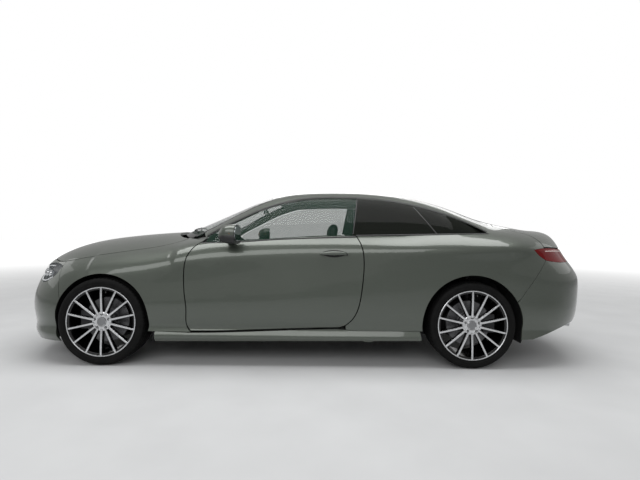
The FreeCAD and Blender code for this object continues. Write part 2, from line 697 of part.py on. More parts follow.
# Bumpers
NOSE_FAN = (-1550, 0, 450)
TAIL_FAN = (1700, 0, 700)
nose_rows = end_rays(lower_field, NOSE_FAN, spaced(-96, 96, 65), spaced(-26, 36, 26))
front_bumper = wall(lower_field, nose_rows, size("bumper_wall"))
nose_back = [(r - SEAM, z) for r, z in reversed(FENDER_FRONT)]
nose_side = [[(-2500, 152), (-1900, 175)], [(-1900, 175), (-1700, 176)], [(-1700, 176), (-1700, 500)],
             [(-1700, 500), nose_back[0]], nose_back, [nose_back[-1], (-1803, 1000)],
             [(-1803, 1000), (-2500, 1000)], [(-2500, 1000), (-2500, 152)]]
front_bumper = front_bumper.common(side_cutter(nose_side, -1300, 1300))
front_bumper = front_bumper.cut([front_arch, mirrored(front_arch), bonnet_opening, headlamp_opening,
                                 mirrored(headlamp_opening), front_cutter(FRONT_GRILLE, -2600, -1500),
                                 front_cutter(LOWER_INTAKE, -2600, -1500)])
front_bumper = largest(front_bumper)
keep("front_bumper", front_bumper)
tail_rows = end_rays(body_field, TAIL_FAN, spaced(84, 276, 65), spaced(-36, 26, 30))
rear_bumper = wall(body_field, tail_rows, size("bumper_wall"), 0.0, 1)
tail_side = polygon([(1700, 226), (1900, 232), (2250, 330), (2700, 350), (2700, 842), (2023, 842),
                     (1803, 545), (1700, 420)])
LID_FOOT = 790.0
LID_FOOT_HALF = 500.0
lid_notch = rbox(2000, 2700, -LID_FOOT_HALF - 4, LID_FOOT_HALF + 4, LID_FOOT - 4, 1200)
rear_bumper = rear_bumper.common(side_cutter(tail_side, -1300, 1300))
rear_bumper = rear_bumper.cut([rear_arch, mirrored(rear_arch), tail_lamp_opening, mirrored(tail_lamp_opening),
                               lid_notch])
rear_bumper = largest(rear_bumper)
keep("rear_bumper", rear_bumper)

# Boot lid
lid_rows = end_rays(body_field, TAIL_FAN, spaced(76, 284, 61), spaced(2, 80, 36))
lid = wall(body_field, lid_rows, size("lid_thickness"), 0.0, 1)
lid_shape = top_cutter(whole(LID), up(LID_FOOT), 1600, -GAP)
beside_foot = rbox(1900, 2700, -1100, -LID_FOOT_HALF + 4, 700, 876)
lid = lid.common(lid_shape).cut([corner_cutter(TAIL_LAMP, 135, 700, 2600, GAP),
                                 mirrored(corner_cutter(TAIL_LAMP, 135, 700, 2600, GAP)),
                                 beside_foot, mirrored(beside_foot)])
lid = largest(lid)
lid_arm = lifting_arm(LID_AXIS, -521 + PLAY, -479 - PLAY, 1900, 1052, 1098, lid)
lid = joined([lid, lid_arm, mirrored(lid_arm)])
keep("boot_lid", lid)

# Lamps
headlamp = largest(wall(lower_field, nose_rows, 60).common(corner_cutter(HEADLAMP, 45, 700, 2600, -2)))
pair("headlamps", headlamp)
tail_lamp = wall(body_field, tail_rows, 50, 0.0, 1).common(corner_cutter(TAIL_LAMP, 135, 700, 2600, -2))
pair("tail_lamps", largest(tail_lamp))

# Grille slats
mesh = wall(lower_field, nose_rows, 36, size("bumper_wall") + 0.3)
fields = []
for low, high in ((238, 386), (464, 652)):
    field_box = box(-2600, -1500, -560, 560, up(low), up(high))
    slats = [box(-2600, -1500, -560, 560, up(z) - 5, up(z) + 5) for z in range(low + 14, high, 28)]
    slats += [box(-2600, -1500, y - 5, y + 5, up(low), up(high)) for y in (-420, -240, -80, 80, 240, 420)]
    slats = mesh.common(slats[0].fuse(slats[1:])).common(field_box)
    fields.append(largest(slats.cut([headlamp, mirrored(headlamp)])))
keep("grille", Part.makeCompound(fields))

# Floor and bulkhead
floor = rbox(-1000, 1010, -740, 740, 190, 214)
floor = floor.fuse(rbox(-1000, 990, -135, 135, 190, 360)).cut(rbox(-1000, 990, -115, 115, 180, 340))
seat_base = rbox(-330, 130, 160, 590, 214, 365)
floor = joined([floor, seat_base, mirrored(seat_base)])
keep("floor", floor)
fender_room = room_under(lower_field, fender_rows, SKIN, (None, -450, 560))
pillar = largest(rbox(-930, -866, -960, -740, 255, 900).common(fender_room).cut(sill))
cheeks = []
for z in HINGE_LEVELS:
    for low in (-36, 28):
        cheeks.append(rbox(-880, HINGE_R, HINGE_Y - 9, HINGE_Y + 22, z + low, z + low + 8))
        cheeks.append(rod(hinge_point(z + low), hinge_point(z + low + 8), 9))
    cheeks.append(rod(hinge_point(z - 36), hinge_point(z + 36), PIN))
side_wall = largest(rbox(-1010, -790, -760, -740, 250, 860).cut(sill))
post = joined([pillar, side_wall] + cheeks)
bulkhead = joined([rbox(-1010, -1000, -740, 740, 190, 860), rbox(-1000, -990, -740, 740, 360, 860),
                   rbox(-1010, -990, -600, 600, 860, 925), post, mirrored(post)])
keep("bulkhead", bulkhead)

# Cowl below the windscreen, with the bonnet's hinge pins
ledge = top_cutter(whole([[(-1000, 0), (-960, -300), (-846, -530), (-800, -612)],
                          [(-800, -612), (-775, -600)],
                          [(-775, -600), (-820, -515), (-930, -300), (-970, 0)]]), up(925), 1200)
ledge = ledge.common(room_under(cabin_field, screen_rows, GLASS, (None, 0, 850), 0.1))
tray = joined([rbox(-1085, -960, -540, 540, 925, 935), rbox(-960, -800, -600, 600, 925, 935), ledge])
hinge = []
for y0, y1 in ((-552, -543), (-505, -496)):
    hinge.append(rbox(-890, -870, y0, y1, 930, 972))
    hinge.append(rod(V(along(-880), y0, up(972)), V(along(-880), y1, up(972)), 10))
hinge.append(rod(V(along(-880), -552, up(972)), V(along(-880), -496, up(972)), 5))
hinge = joined(hinge)
cowl = joined([tray, hinge, mirrored(hinge)])
keep("cowl", largest(cowl))

# Frame of the engine bay
bay = [rbox(-2140, -1010, -473, -403, 330, 430), rbox(-2130, -2070, -473, -403, 230, 720),
       rbox(-1500, -1372, -473, -440, 430, 790), rbox(-1500, -1372, -660, -440, 752, 790),
       rbox(-1900, -1010, -640, -590, 756, 790),
       rbox(-1480, -1400, -960, -600, 760, 785).common(fender_room),
       rbox(-1960, -1880, -780, -600, 660, 770).common(
           room_under(lower_field, nose_rows, 60, NOSE_FAN)).common(rbox(-2000, -1850, -900, -400, 0, 2000))]
bay = joined(bay).cut(arch_cylinder(ARCHES[0], size("liner_radius") + size("liner_wall"), -400, -1000).cut(
    rbox(-2200, -700, -480, -300, 0, 1000)))
middle = [rbox(-2130, -2070, -403, 403, 230, 250), rbox(-2130, -2070, -403, 403, 690, 720),
          rbox(-2118, -2085, -403, 403, 250, 690)]
beam = rbox(-2300, -2130, -420, 420, 392, 458).common(
    room_under(lower_field, nose_rows, size("bumper_wall"), NOSE_FAN))
frame = joined([bay, mirrored(bay), beam] + middle)
below_bonnet = bonnet.translated(V(0, 0, -6))
frame = largest(frame.cut([headlamp, mirrored(headlamp), below_bonnet] + fields))
keep("front_frame", frame)

# Wheel liners
liners = []
for arch, window in ((ARCHES[0], 165), (ARCHES[1], 190)):
    radius, wall_thick = size("liner_radius"), size("liner_wall")
    inner_y = -arch[3]
    tub = arch_cylinder(arch, radius + wall_thick, inner_y + wall_thick, -880)
    tub = tub.cut(arch_cylinder(arch, radius, inner_y, -900))
    tub = tub.cut(box(arch[0] - window, arch[0] + window, inner_y - 1, inner_y + 10, 0, 560))
    tub = tub.cut(box(arch[0] - 600, arch[0] + 600, -1000, -300, -200, up(195)))
    liners.append(tub)
front_liner = largest(liners[0].cut([fender, front_bumper, sill]))
rear_liner = largest(liners[1].cut([quarter, rear_bumper, sill]))
keep("wheel_liners", Part.makeCompound([front_liner, mirrored(front_liner), rear_liner,
                                        mirrored(rear_liner)]))

# Boot tub, parcel shelf and cabin sides
quarter_room = room_under(body_field, quarter_rows, size("quarter_thickness"), (None, -430, 880), 0.1)
tub_side = [rbox(1545, 2190, -595, -585, 430, 935), rbox(2180, 2345, -595, -585, 430, 775),
            rbox(1700, 1740, -960, -590, 895, 925).common(quarter_room),
            rbox(1800, 1830, -595, -472, 920, 935)]
for y0, y1 in ((-530, -521), (-479, -470)):
    tub_side.append(rbox(1805, 1825, y0, y1, 925, 1058))
    tub_side.append(rod(V(along(1815), y0, up(1058)), V(along(1815), y1, up(1058)), 10))
tub_side.append(rod(V(along(1815), -530, up(1058)), V(along(1815), -470, up(1058)), 5))
tub_side.append(rbox(2140, 2180, -780, -590, 845, 895).common(
    room_under(body_field, tail_rows, 50, TAIL_FAN, 0.3, 1)))
tub_side = joined(tub_side)
bracket = rbox(2340, 2560, -450, -350, 480, 560).common(
    room_under(body_field, tail_rows, size("bumper_wall"), TAIL_FAN, 0.3, 1))
boot = joined([rbox(990, 1010, -740, 740, 214, 445), rbox(1010, 2345, -595, 595, 430, 445),
               rbox(2330, 2345, -595, 595, 430, 775), tub_side, mirrored(tub_side), bracket,
               mirrored(bracket)])
keep("boot_tub", largest(boot))
rear_ledge = top_cutter(whole([[(1690, 0), (1676, -250), (1636, -500)], [(1636, -500), (1652, -500)],
                               [(1652, -500), (1692, -250), (1705, 0)]]), up(1012), 1300)
rear_ledge = rear_ledge.common(room_under(body_field, rear_rows, GLASS, (None, 0, 850), 0.1))
shelf = joined([rbox(1545, 1560, -595, 595, 445, 1000), rbox(1545, 1716, -600, 600, 1000, 1012),
                rbox(1545, 1630, -740, 740, 1000, 1012), rear_ledge]).cut(boot)
keep("parcel_shelf", shelf)
b_post = largest(rbox(600, 660, -960, -740, 262, 1000).common(quarter_room).cut(sill))
side_trim = rbox(600, 1545, -760, -740, 214, 1000).cut(
    arch_cylinder(ARCHES[1], size("liner_radius") + size("liner_wall"), -500, -1000))
side_trim = joined([b_post, largest(side_trim)]).cut([sill, boot])
pair("cabin_sides", largest(side_trim))

# Frame under the roof
ring = wall(cabin_field, roof_rows, size("rail_thickness"), size("roof_thickness"))
ring = ring.common(roof_opening).cut(top_cutter(whole(ROOF), 1100, 1700, -50))
keep("roof_frame", largest(ring))


# Wheels, drawn with x pointing outboard from the tyre's inner face
def plane_of(body, role):
    return next(o for o in body.Origin.OriginFeatures if o.Role == role)


def new_body(name):
    body = doc.addObject("PartDesign::Body", name)
    body.Label = name
    NODES.append(body)
    return body


def outline_sketch(body, name, role, corners):
    """Closed outline; each corner's distances from the origin are formulas of the sizes."""
    sketch = body.newObject("Sketcher::SketchObject", name)
    sketch.AttachmentSupport = [(plane_of(body, role), "")]
    sketch.MapMode = "FlatFace"
    spots = [V(sheet_value(a), sheet_value(b), 0) for a, b in corners]
    count = len(spots)
    for i in range(count):
        sketch.addGeometry(Part.LineSegment(spots[i], spots[(i + 1) % count]))
    for i in range(count):
        sketch.addConstraint(Sketcher.Constraint("Coincident", i, 2, (i + 1) % count, 1))
    for i, (a, b) in enumerate(corners):
        for kind, formula, value in (("DistanceX", a, spots[i].x), ("DistanceY", b, spots[i].y)):
            if abs(value) < 1e-9:
                axis = -2 if kind == "DistanceX" else -1
                sketch.addConstraint(Sketcher.Constraint("PointOnObject", i, 1, axis))
                continue
            spot = sketch.addConstraint(Sketcher.Constraint(kind, -1, 1, i, 1, value))
            sketch.setExpression(f"Constraints[{spot}]", formula)
    return sketch


probe = doc.addObject("App::FeaturePython", "probe")
probe.addProperty("App::PropertyFloat", "value")


def sheet_value(formula):
    probe.setExpression("value", formula)
    probe.recompute()
    return probe.value


def revolved(body, sketch, name):
    turn = body.newObject("PartDesign::Revolution", name)
    turn.Profile = sketch
    turn.ReferenceAxis = (sketch, ["H_Axis"])
    turn.Angle = 360
    return turn


def tyre_body(name, width, radius):
    w, r, rim = f"sizes.{width}", f"sizes.{radius}", "sizes.rim_radius"
    seat = "sizes.rim_barrel_radius + sizes.rim_wall"
    half = [("14", seat), ("14", f"{rim} + 6"), ("0", f"{rim} + 28"), ("11", f"{r} - 11"), ("32", f"{r} - 2")]
    inner = [("30", seat), ("15", f"{rim} + 22"), ("34", f"{r} - 16")]
    corners = half + [(f"{w} / 2", r)] + [(f"{w} - {a}", b) for a, b in reversed(half)]
    corners += [(f"{w} - {a}", b) for a, b in inner] + list(reversed(inner))
    body = new_body(name)
    revolved(body, outline_sketch(body, name + "_section", "XY_Plane", corners), name + "_turn")
    return body


def rim_body(name, width):
    w, rim, barrel = f"sizes.{width}", "sizes.rim_radius", "sizes.rim_barrel_radius"
    seat = f"{barrel} + sizes.rim_wall"
    body = new_body(name)
    corners = [("6", barrel), ("6", rim), ("14", rim), ("14", seat), (f"{w} - 14", seat), (f"{w} - 14", rim),
               (f"{w} - 6", rim), (f"{w} - 6", barrel)]
    revolved(body, outline_sketch(body, name + "_barrel", "XY_Plane", corners), name + "_barrel_turn")
    bore, hub = "sizes.centre_bore_radius", "sizes.hub_face_radius"
    corners = [(f"{w} - 65", bore), (f"{w} - 28", bore), (f"{w} - 28", "0"), (f"{w} - 20", "0"),
               (f"{w} - 20", f"{hub} - 6"), (f"{w} - 26", hub), (f"{w} - 65", hub)]
    revolved(body, outline_sketch(body, name + "_hub", "XY_Plane", corners), name + "_hub_turn")
    doc.recompute()
    half = "sizes.spoke_width / 2"
    spoke = outline_sketch(body, name + "_spoke", "YZ_Plane",
                           [(f"-{half}", f"{hub} - 20"), (half, f"{hub} - 20"),
                            (half, f"{barrel} + 3"), (f"-{half}", f"{barrel} + 3")])
    spoke.setExpression("AttachmentOffset.Base.z", f"{w} - 10 - sizes.spoke_depth")
    pad = body.newObject("PartDesign::Pad", name + "_spoke_pad")
    pad.Profile = spoke
    pad.setExpression("Length", "sizes.spoke_depth")
    ring_of = body.newObject("PartDesign::PolarPattern", name + "_spokes")
    ring_of.Originals = [pad]
    ring_of.Axis = (plane_of(body, "X_Axis"), [""])
    ring_of.Angle = 360
    ring_of.Occurrences = 14
    body.Tip = ring_of
    doc.recompute()
    hole = body.newObject("Sketcher::SketchObject", name + "_bolt")
    hole.AttachmentSupport = [(plane_of(body, "YZ_Plane"), "")]
    hole.MapMode = "FlatFace"
    hole.addGeometry(Part.Circle(V(0, size("bolt_circle_radius"), 0), V(0, 0, 1), size("bolt_hole_radius")))
    hole.addConstraint(Sketcher.Constraint("PointOnObject", 0, 3, -2))
    spot = hole.addConstraint(Sketcher.Constraint("DistanceY", -1, 1, 0, 3, size("bolt_circle_radius")))
    hole.setExpression(f"Constraints[{spot}]", "sizes.bolt_circle_radius")
    spot = hole.addConstraint(Sketcher.Constraint("Radius", 0, size("bolt_hole_radius")))
    hole.setExpression(f"Constraints[{spot}]", "sizes.bolt_hole_radius")
    cut = body.newObject("PartDesign::Pocket", name + "_bolt_hole")
    cut.Profile = hole
    cut.Type = 1
    cut.Midplane = True
    holes = body.newObject("PartDesign::PolarPattern", name + "_bolt_holes")
    holes.Originals = [cut]
    holes.Axis = (plane_of(body, "X_Axis"), [""])
    holes.Angle = 360
    holes.Occurrences = 5
    hat = "sizes.disc_hat_radius"
    thick = "sizes.disc_thickness"
    corners = [(f"{w} - 65", bore), (f"{w} - 65", hat), (f"{w} - 115", hat),
               (f"{w} - 115", "sizes.disc_radius"),
               (f"{w} - 115 - {thick}", "sizes.disc_radius"), (f"{w} - 115 - {thick}", f"{hat} - 8"),
               (f"{w} - 73", f"{hat} - 8"), (f"{w} - 73", bore)]
    revolved(body, outline_sketch(body, name + "_disc", "XY_Plane", corners), name + "_disc_turn")
    return body


WHEELS = []
for end, axle, track in (("front", FRONT_AXLE, FRONT_Y), ("rear", REAR_AXLE, REAR_Y)):
    width, radius = end + "_tyre_width", end + "_tyre_radius"
    for side, turn in (("left", -90), ("right", 90)):
        name = f"{end}_{side}"
        bodies = [tyre_body(name + "_tyre", width, radius), rim_body(name + "_rim", width)]
        out = -1 if side == "left" else 1
        base = V(axle, out * (track - size(width) / 2), size(radius))
        for body in bodies:
            body.Placement = FreeCAD.Placement(base, FreeCAD.Rotation(V(0, 0, 1), turn))
        WHEELS += bodies
doc.recompute()


# Suspension, steering knuckles and calipers; local x points outboard from the tyre's inner face
def corner(axle, level_z, track, width):
    """Placement of a left wheel's local frame."""
    base = V(axle, -(track - size(width) / 2), size(level_z))
    return FreeCAD.Placement(base, FreeCAD.Rotation(V(0, 0, 1), -90))


def placed(shape, placement):
    return shape.transformed(placement.toMatrix(), True)


def upright(width, caliper_side):
    """Upright with spindle and brake caliper, in the wheel's local frame (y is along the car)."""
    w = size(width)
    rotor = w - 115
    inner = rotor - size("disc_thickness")
    shapes = [box(20, 62, -35, 35, -150, 150), rod(V(40, 0, 0), V(inner - 6, 0, 0), 56),
              rod(V(40, 0, 0), V(w - 34, 0, 0), size("centre_bore_radius") - PLAY)]
    edge = size("disc_radius")
    grip = box(inner - 18, rotor + 18, edge - 62, edge + 26, -72, 72)
    grip = grip.cut(rod(V(inner - 6, 0, 0), V(rotor + 6, 0, 0), edge + 6))
    shapes += [grip, box(42, inner - 6, 20, edge - 40, -30, 30),
               box(inner - 40, inner - 6, edge - 62, edge - 36, -60, 60)]
    whole_part = joined(shapes)
    if caliper_side < 0:
        whole_part = whole_part.mirror(V(0, 0, 0), V(0, 1, 0))
    return whole_part


BALL = 12.0
front_corner = corner(FRONT_AXLE, "front_tyre_radius", FRONT_Y, "front_tyre_width")
knuckle = upright("front_tyre_width", -1).cut(rod(V(40, 0, -200), V(40, 0, -110), BALL + PLAY))
knuckle = knuckle.cut(rod(V(40, 0, 110), V(40, 0, 200), BALL + PLAY))
knuckle = placed(knuckle, front_corner)
both_sides("knuckle", knuckle)
PIVOT = front_corner.multVec(V(40, 0, 0))


def arm_plate(centre_x, y_in, y_out, half_in, half_out, z0, z1):
    flat = [V(centre_x - half_in, y_in, 0), V(centre_x + half_in, y_in, 0), V(centre_x + half_out, y_out, 0),
            V(centre_x - half_out, y_out, 0)]
    return prism(polygon(flat), V(0, 0, 1), z0, z1 - z0)


z = PIVOT.z
room = arch_cylinder(ARCHES[0], size("liner_radius"), -470, -900)
side_arms = [arm_plate(FRONT_AXLE, -425, PIVOT.y - 22, 110, 26, z - 174, z - 155),
             rod(V(FRONT_AXLE, PIVOT.y, z - 160), V(FRONT_AXLE, PIVOT.y, z - 118), BALL),
             arm_plate(FRONT_AXLE, -470, PIVOT.y - 22, 60, 24, z + 155, z + 174),
             rod(V(FRONT_AXLE, PIVOT.y, z + 118), V(FRONT_AXLE, PIVOT.y, z + 160), BALL),
             rod(V(FRONT_AXLE, -600, z - 160), V(FRONT_AXLE, -568, z + 460), 30).common(room)]
side_arms = joined(side_arms)
cradle = [box(FRONT_AXLE - 165, FRONT_AXLE + 130, -430, 430, 165, 250),
          rod(V(FRONT_AXLE - 144, -520, 305), V(FRONT_AXLE - 144, 520, 305), 22),
          box(FRONT_AXLE - 165, FRONT_AXLE - 120, -360, -300, 250, 300),
          box(FRONT_AXLE - 165, FRONT_AXLE - 120, 300, 360, 250, 300),
          box(FRONT_AXLE - 165, FRONT_AXLE + 130, -430, -403, 240, 330),
          box(FRONT_AXLE - 165, FRONT_AXLE + 130, 403, 430, 240, 330)]
front_axle = joined(cradle + [side_arms, mirrored(side_arms)])
keep("front_axle", largest(front_axle.cut([frame, front_liner, mirrored(front_liner)])))

rear_corner = corner(REAR_AXLE, "rear_tyre_radius", REAR_Y, "rear_tyre_width")
hub = placed(upright("rear_tyre_width", 1), rear_corner)
stub = rear_corner.multVec(V(40, 0, 0))
z = stub.z
room = arch_cylinder(ARCHES[1], size("liner_radius"), -500, -900)
side_arms = [hub, arm_plate(REAR_AXLE, -425, stub.y - 16, 120, 30, z - 160, z - 140),
             arm_plate(REAR_AXLE, -595.3, stub.y - 16, 70, 28, z + 136, z + 150),
             rod(V(REAR_AXLE, -60, z), V(REAR_AXLE, stub.y + 20, z), 20),
             rod(V(REAR_AXLE + 50, -629, z - 150), V(REAR_AXLE + 50, -629, z + 470), 24).common(room)]
side_arms = joined(side_arms)
carrier = [box(REAR_AXLE - 130, REAR_AXLE + 130, -430, 430, 165, 225),
           box(REAR_AXLE - 130, REAR_AXLE - 90, -430, -360, 225, 430),
           box(REAR_AXLE - 130, REAR_AXLE - 90, 360, 430, 225, 430),
           box(REAR_AXLE - 90, REAR_AXLE + 90, -430, -405, 225, 429),
           box(REAR_AXLE - 90, REAR_AXLE + 90, 405, 430, 225, 429),
           rod(V(REAR_AXLE, -110, z), V(REAR_AXLE, 110, z), 92),
           box(REAR_AXLE - 60, REAR_AXLE + 60, -80, 80, 225, 300)]
rear_axle = joined(carrier + [side_arms, mirrored(side_arms)])
keep("rear_axle", largest(rear_axle.cut(boot)))

# Engine, tank and exhaust
engine = box(FRONT_AXLE - 110, FRONT_AXLE - 110 + size("engine_length"), -size("engine_width") / 2,
             size("engine_width") / 2, 250, 250 + size("engine_height"))
keep("engine", engine)
tank = rbox(1015, 1290, -560, 560, 300, 430)
keep("fuel_tank", tank)
silencer = rbox(1900, 2230, -420, 420, 260, 400)
pipe_points = [V(along(-900), 60, 262), V(along(1010), 60, 262), V(along(1150), 230, 262),
               V(along(1920), 230, 275)]
pipes = [rod(a, b, 22) for a, b in zip(pipe_points, pipe_points[1:])]
pipes += [Part.makeSphere(22, p) for p in pipe_points[1:3]]
for side in (-1, 1):
    pipes.append(rod(V(along(2200), side * 380, 300), V(along(2420), side * 470, 286), 36))
    pipes.append(rbox(1950, 2000, side * 300 - 20, side * 300 + 20, 395, 430))
    pipes.append(rbox(2150, 2200, side * 300 - 20, side * 300 + 20, 395, 430))
exhaust = joined([silencer] + pipes).cut([rear_bumper, boot])
keep("exhaust", largest(exhaust))

# Cabin furniture
dash_top = [(-765, 925), (-765, 962), (-640, 964), (-575, 936), (-560, 860), (-600, 860), (-600, 925)]
dash_low = [(-990, 640), (-990, 925), (-600, 925), (-600, 860), (-560, 860), (-600, 700), (-700, 620)]


def across_solid(profile, half):
    """Solid of a side profile, as wide as half on each side of the middle."""
    return prism(polygon([V(along(r), 0, up(z)) for r, z in profile]), V(0, -1, 0), -half, 2 * half)


dash = across_solid(dash_low, 738).cut(
    [rbox(-1100, -760, y - 80, y + 80, 850, 940) for y in (-680, 680)])
dash = dash.fuse(across_solid(dash_top, 630))
console = rbox(-700, 330, -130, 130, 360, 560).fuse(rbox(-720, -560, -130, 130, 360, 760))
dashboard = joined([dash, console])
keep("dashboard", dashboard)
WHEEL_HUB = V(along(-400), -370, up(830))
lean = V(1, 0, 0.45).normalize()
across = V(0, 1, 0)
downward = across.cross(lean).normalize()
if downward.z > 0:
    downward = -downward
GRIP = 15.0
ring_radius = size("steering_wheel_radius") - GRIP
grip_line = []
for k in range(8):
    turn = math.radians(22.5 + 45 * k)
    reach = ring_radius + GRIP * math.cos(turn)
    grip_line.append(WHEEL_HUB + across * reach + lean * (GRIP * math.sin(turn)))
rim_ring = Part.Face(Part.makePolygon(grip_line + grip_line[:1])).revolve(WHEEL_HUB, lean, 360)
hub_disc = rod(WHEEL_HUB - lean * 25, WHEEL_HUB + lean * 12, 62)
bars = [rod(WHEEL_HUB, WHEEL_HUB + way * ring_radius, 11) for way in (across, -across, downward)]
column = rod(WHEEL_HUB - lean * 230, WHEEL_HUB - lean * 20, 34)
steering_wheel = joined([rim_ring, hub_disc, column] + bars).cut(dashboard)
keep("steering_wheel", largest(steering_wheel))


def cushion(profile, y0, y1, radius):
    flat = [V(along(r), 0, up(z)) for r, z in profile]
    solid = prism(polygon(flat), V(0, -1, 0), -y1, y1 - y0)
    return solid.makeFillet(radius, solid.Edges)


SEAT_Y = 378.0
half_seat = size("seat_width") / 2
seat = cushion([(-380, 365.3), (-380, 445), (130, 428), (190, 365.3)],
               SEAT_Y - half_seat, SEAT_Y + half_seat, 30)
keep("seat_cushions", Part.makeCompound([seat, mirrored(seat)]))
back = cushion([(95, 436), (215, 392), (390, 930), (330, 960), (280, 940)],
               SEAT_Y - half_seat + 10, SEAT_Y + half_seat - 10, 24)
back = back.cut(seat)
rest = cushion([(300, 962), (400, 962), (425, 1120), (350, 1130)], SEAT_Y - 130, SEAT_Y + 130, 24)
rest = rest.fuse([rbox(345, 360, SEAT_Y - 60, SEAT_Y - 48, 930, 990),
                  rbox(345, 360, SEAT_Y + 48, SEAT_Y + 60, 930, 990)])
back = largest(joined([back, rest]))
keep("seat_backs", Part.makeCompound([back, mirrored(back)]))
bench = cushion([(880, 446), (860, 530), (1330, 510), (1410, 446)], -560, 560, 16).fuse(
    rbox(890, 990, -560, 560, 214, 470))
bench = bench.cut([boot, floor])
keep("rear_bench", largest(bench))
rear_back = cushion([(1330, 500), (1420, 446), (1543, 860), (1543, 985), (1470, 985)], -590, 590, 16)
keep("rear_backrest", rear_back.cut([bench, boot, shelf]))

# Door mirrors
shell = cushion([(-506, 970), (-506, 1048), (-458, 1101), (-398, 1101), (-372, 1072), (-372, 940),
                 (-470, 934)],
                -1048, -872, 20)
foot_of = prism(polygon([V(along(-480), -790, 0), V(along(-410), -790, 0), V(along(-405), -930, 0),
                         V(along(-470), -930, 0)]), V(0, 0, 1), up(958), up(1006) - up(958))
mirror_piece = shell.fuse(foot_of).cut([door, door_glass])
both_sides("mirror", largest(mirror_piece))

doc.removeObject("probe")
doc.recompute()
for item in doc.Objects:
    if "Invalid" in item.State or "Error" in item.State:
        raise RuntimeError(f"{item.Label} did not recompute")
os.makedirs("parts", exist_ok=True)
for node in NODES:
    if node.Shape.isNull() or not node.Shape.isValid():
        raise RuntimeError(f"{node.Label} has no valid shape")
    node.Shape.exportStep(f"parts/{node.Label}.step")
    print(node.Label, len(node.Shape.Solids), "solids,", round(node.Shape.Volume / 1e6, 2), "litres")
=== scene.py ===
"""Looks of the coupe car: finishes for every panel and the pieces that dress it. Metres; nose towards
-X, left side towards -Y, Z up, origin on the ground midway along the car."""
import math

import bmesh
import bpy
from mathutils import Matrix, Vector
from mathutils.bvhtree import BVHTree


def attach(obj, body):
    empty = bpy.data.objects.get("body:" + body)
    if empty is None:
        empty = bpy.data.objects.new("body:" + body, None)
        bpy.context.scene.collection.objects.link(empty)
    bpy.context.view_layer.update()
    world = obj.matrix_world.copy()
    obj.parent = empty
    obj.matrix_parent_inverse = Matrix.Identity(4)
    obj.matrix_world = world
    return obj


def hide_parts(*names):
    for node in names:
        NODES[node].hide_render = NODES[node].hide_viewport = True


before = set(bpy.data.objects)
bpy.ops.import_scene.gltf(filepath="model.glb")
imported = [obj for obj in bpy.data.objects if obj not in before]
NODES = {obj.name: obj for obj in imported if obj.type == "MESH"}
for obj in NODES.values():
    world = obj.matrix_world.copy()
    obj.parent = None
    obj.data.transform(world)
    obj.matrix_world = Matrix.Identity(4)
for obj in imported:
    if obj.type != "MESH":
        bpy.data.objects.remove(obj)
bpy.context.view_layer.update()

scene = bpy.context.scene
scene.view_settings.view_transform = "Standard"

# Camera, as it stood for the photograph; lengths in pixels of its 640 by 480 frame
IMAGE_WIDTH = 640
FOCAL_PIXELS = 405.4
CAMERA_SPOT = Vector((0.1237, -4.0336, 1.0315))
YAW, PITCH, ROLL = (math.radians(a) for a in (-0.107, -0.690, 0.504))


def linked(name, data):
    """New object with the data, put into the scene."""
    item = bpy.data.objects.new(name, data)
    scene.collection.objects.link(item)
    return item


def make_camera():
    ahead = Vector((math.sin(YAW) * math.cos(PITCH), math.cos(YAW) * math.cos(PITCH), math.sin(PITCH)))
    level = Vector((math.cos(YAW), -math.sin(YAW), 0))
    up = level.cross(ahead)
    right = level * math.cos(ROLL) + up * math.sin(ROLL)
    top = up * math.cos(ROLL) - level * math.sin(ROLL)
    data = bpy.data.cameras.new("camera")
    data.sensor_fit = "HORIZONTAL"
    data.sensor_width = 36.0
    data.lens = FOCAL_PIXELS / IMAGE_WIDTH * data.sensor_width
    data.shift_y = -1 / IMAGE_WIDTH
    camera = linked("camera", data)
    turn = Matrix((right, top, -ahead)).transposed().to_4x4()
    camera.matrix_world = Matrix.Translation(CAMERA_SPOT) @ turn
    scene.camera = camera


make_camera()


# Materials
def lin(r, g, b):
    """Linear colour of an sRGB colour given from 0 to 255."""
    return tuple(((c / 255 + 0.055) / 1.055) ** 2.4 if c > 10 else c / 255 / 12.92
                 for c in (r, g, b)) + (1.0,)


def dimmed(color, share):
    return tuple(c * share for c in color[:3]) + (1.0,)


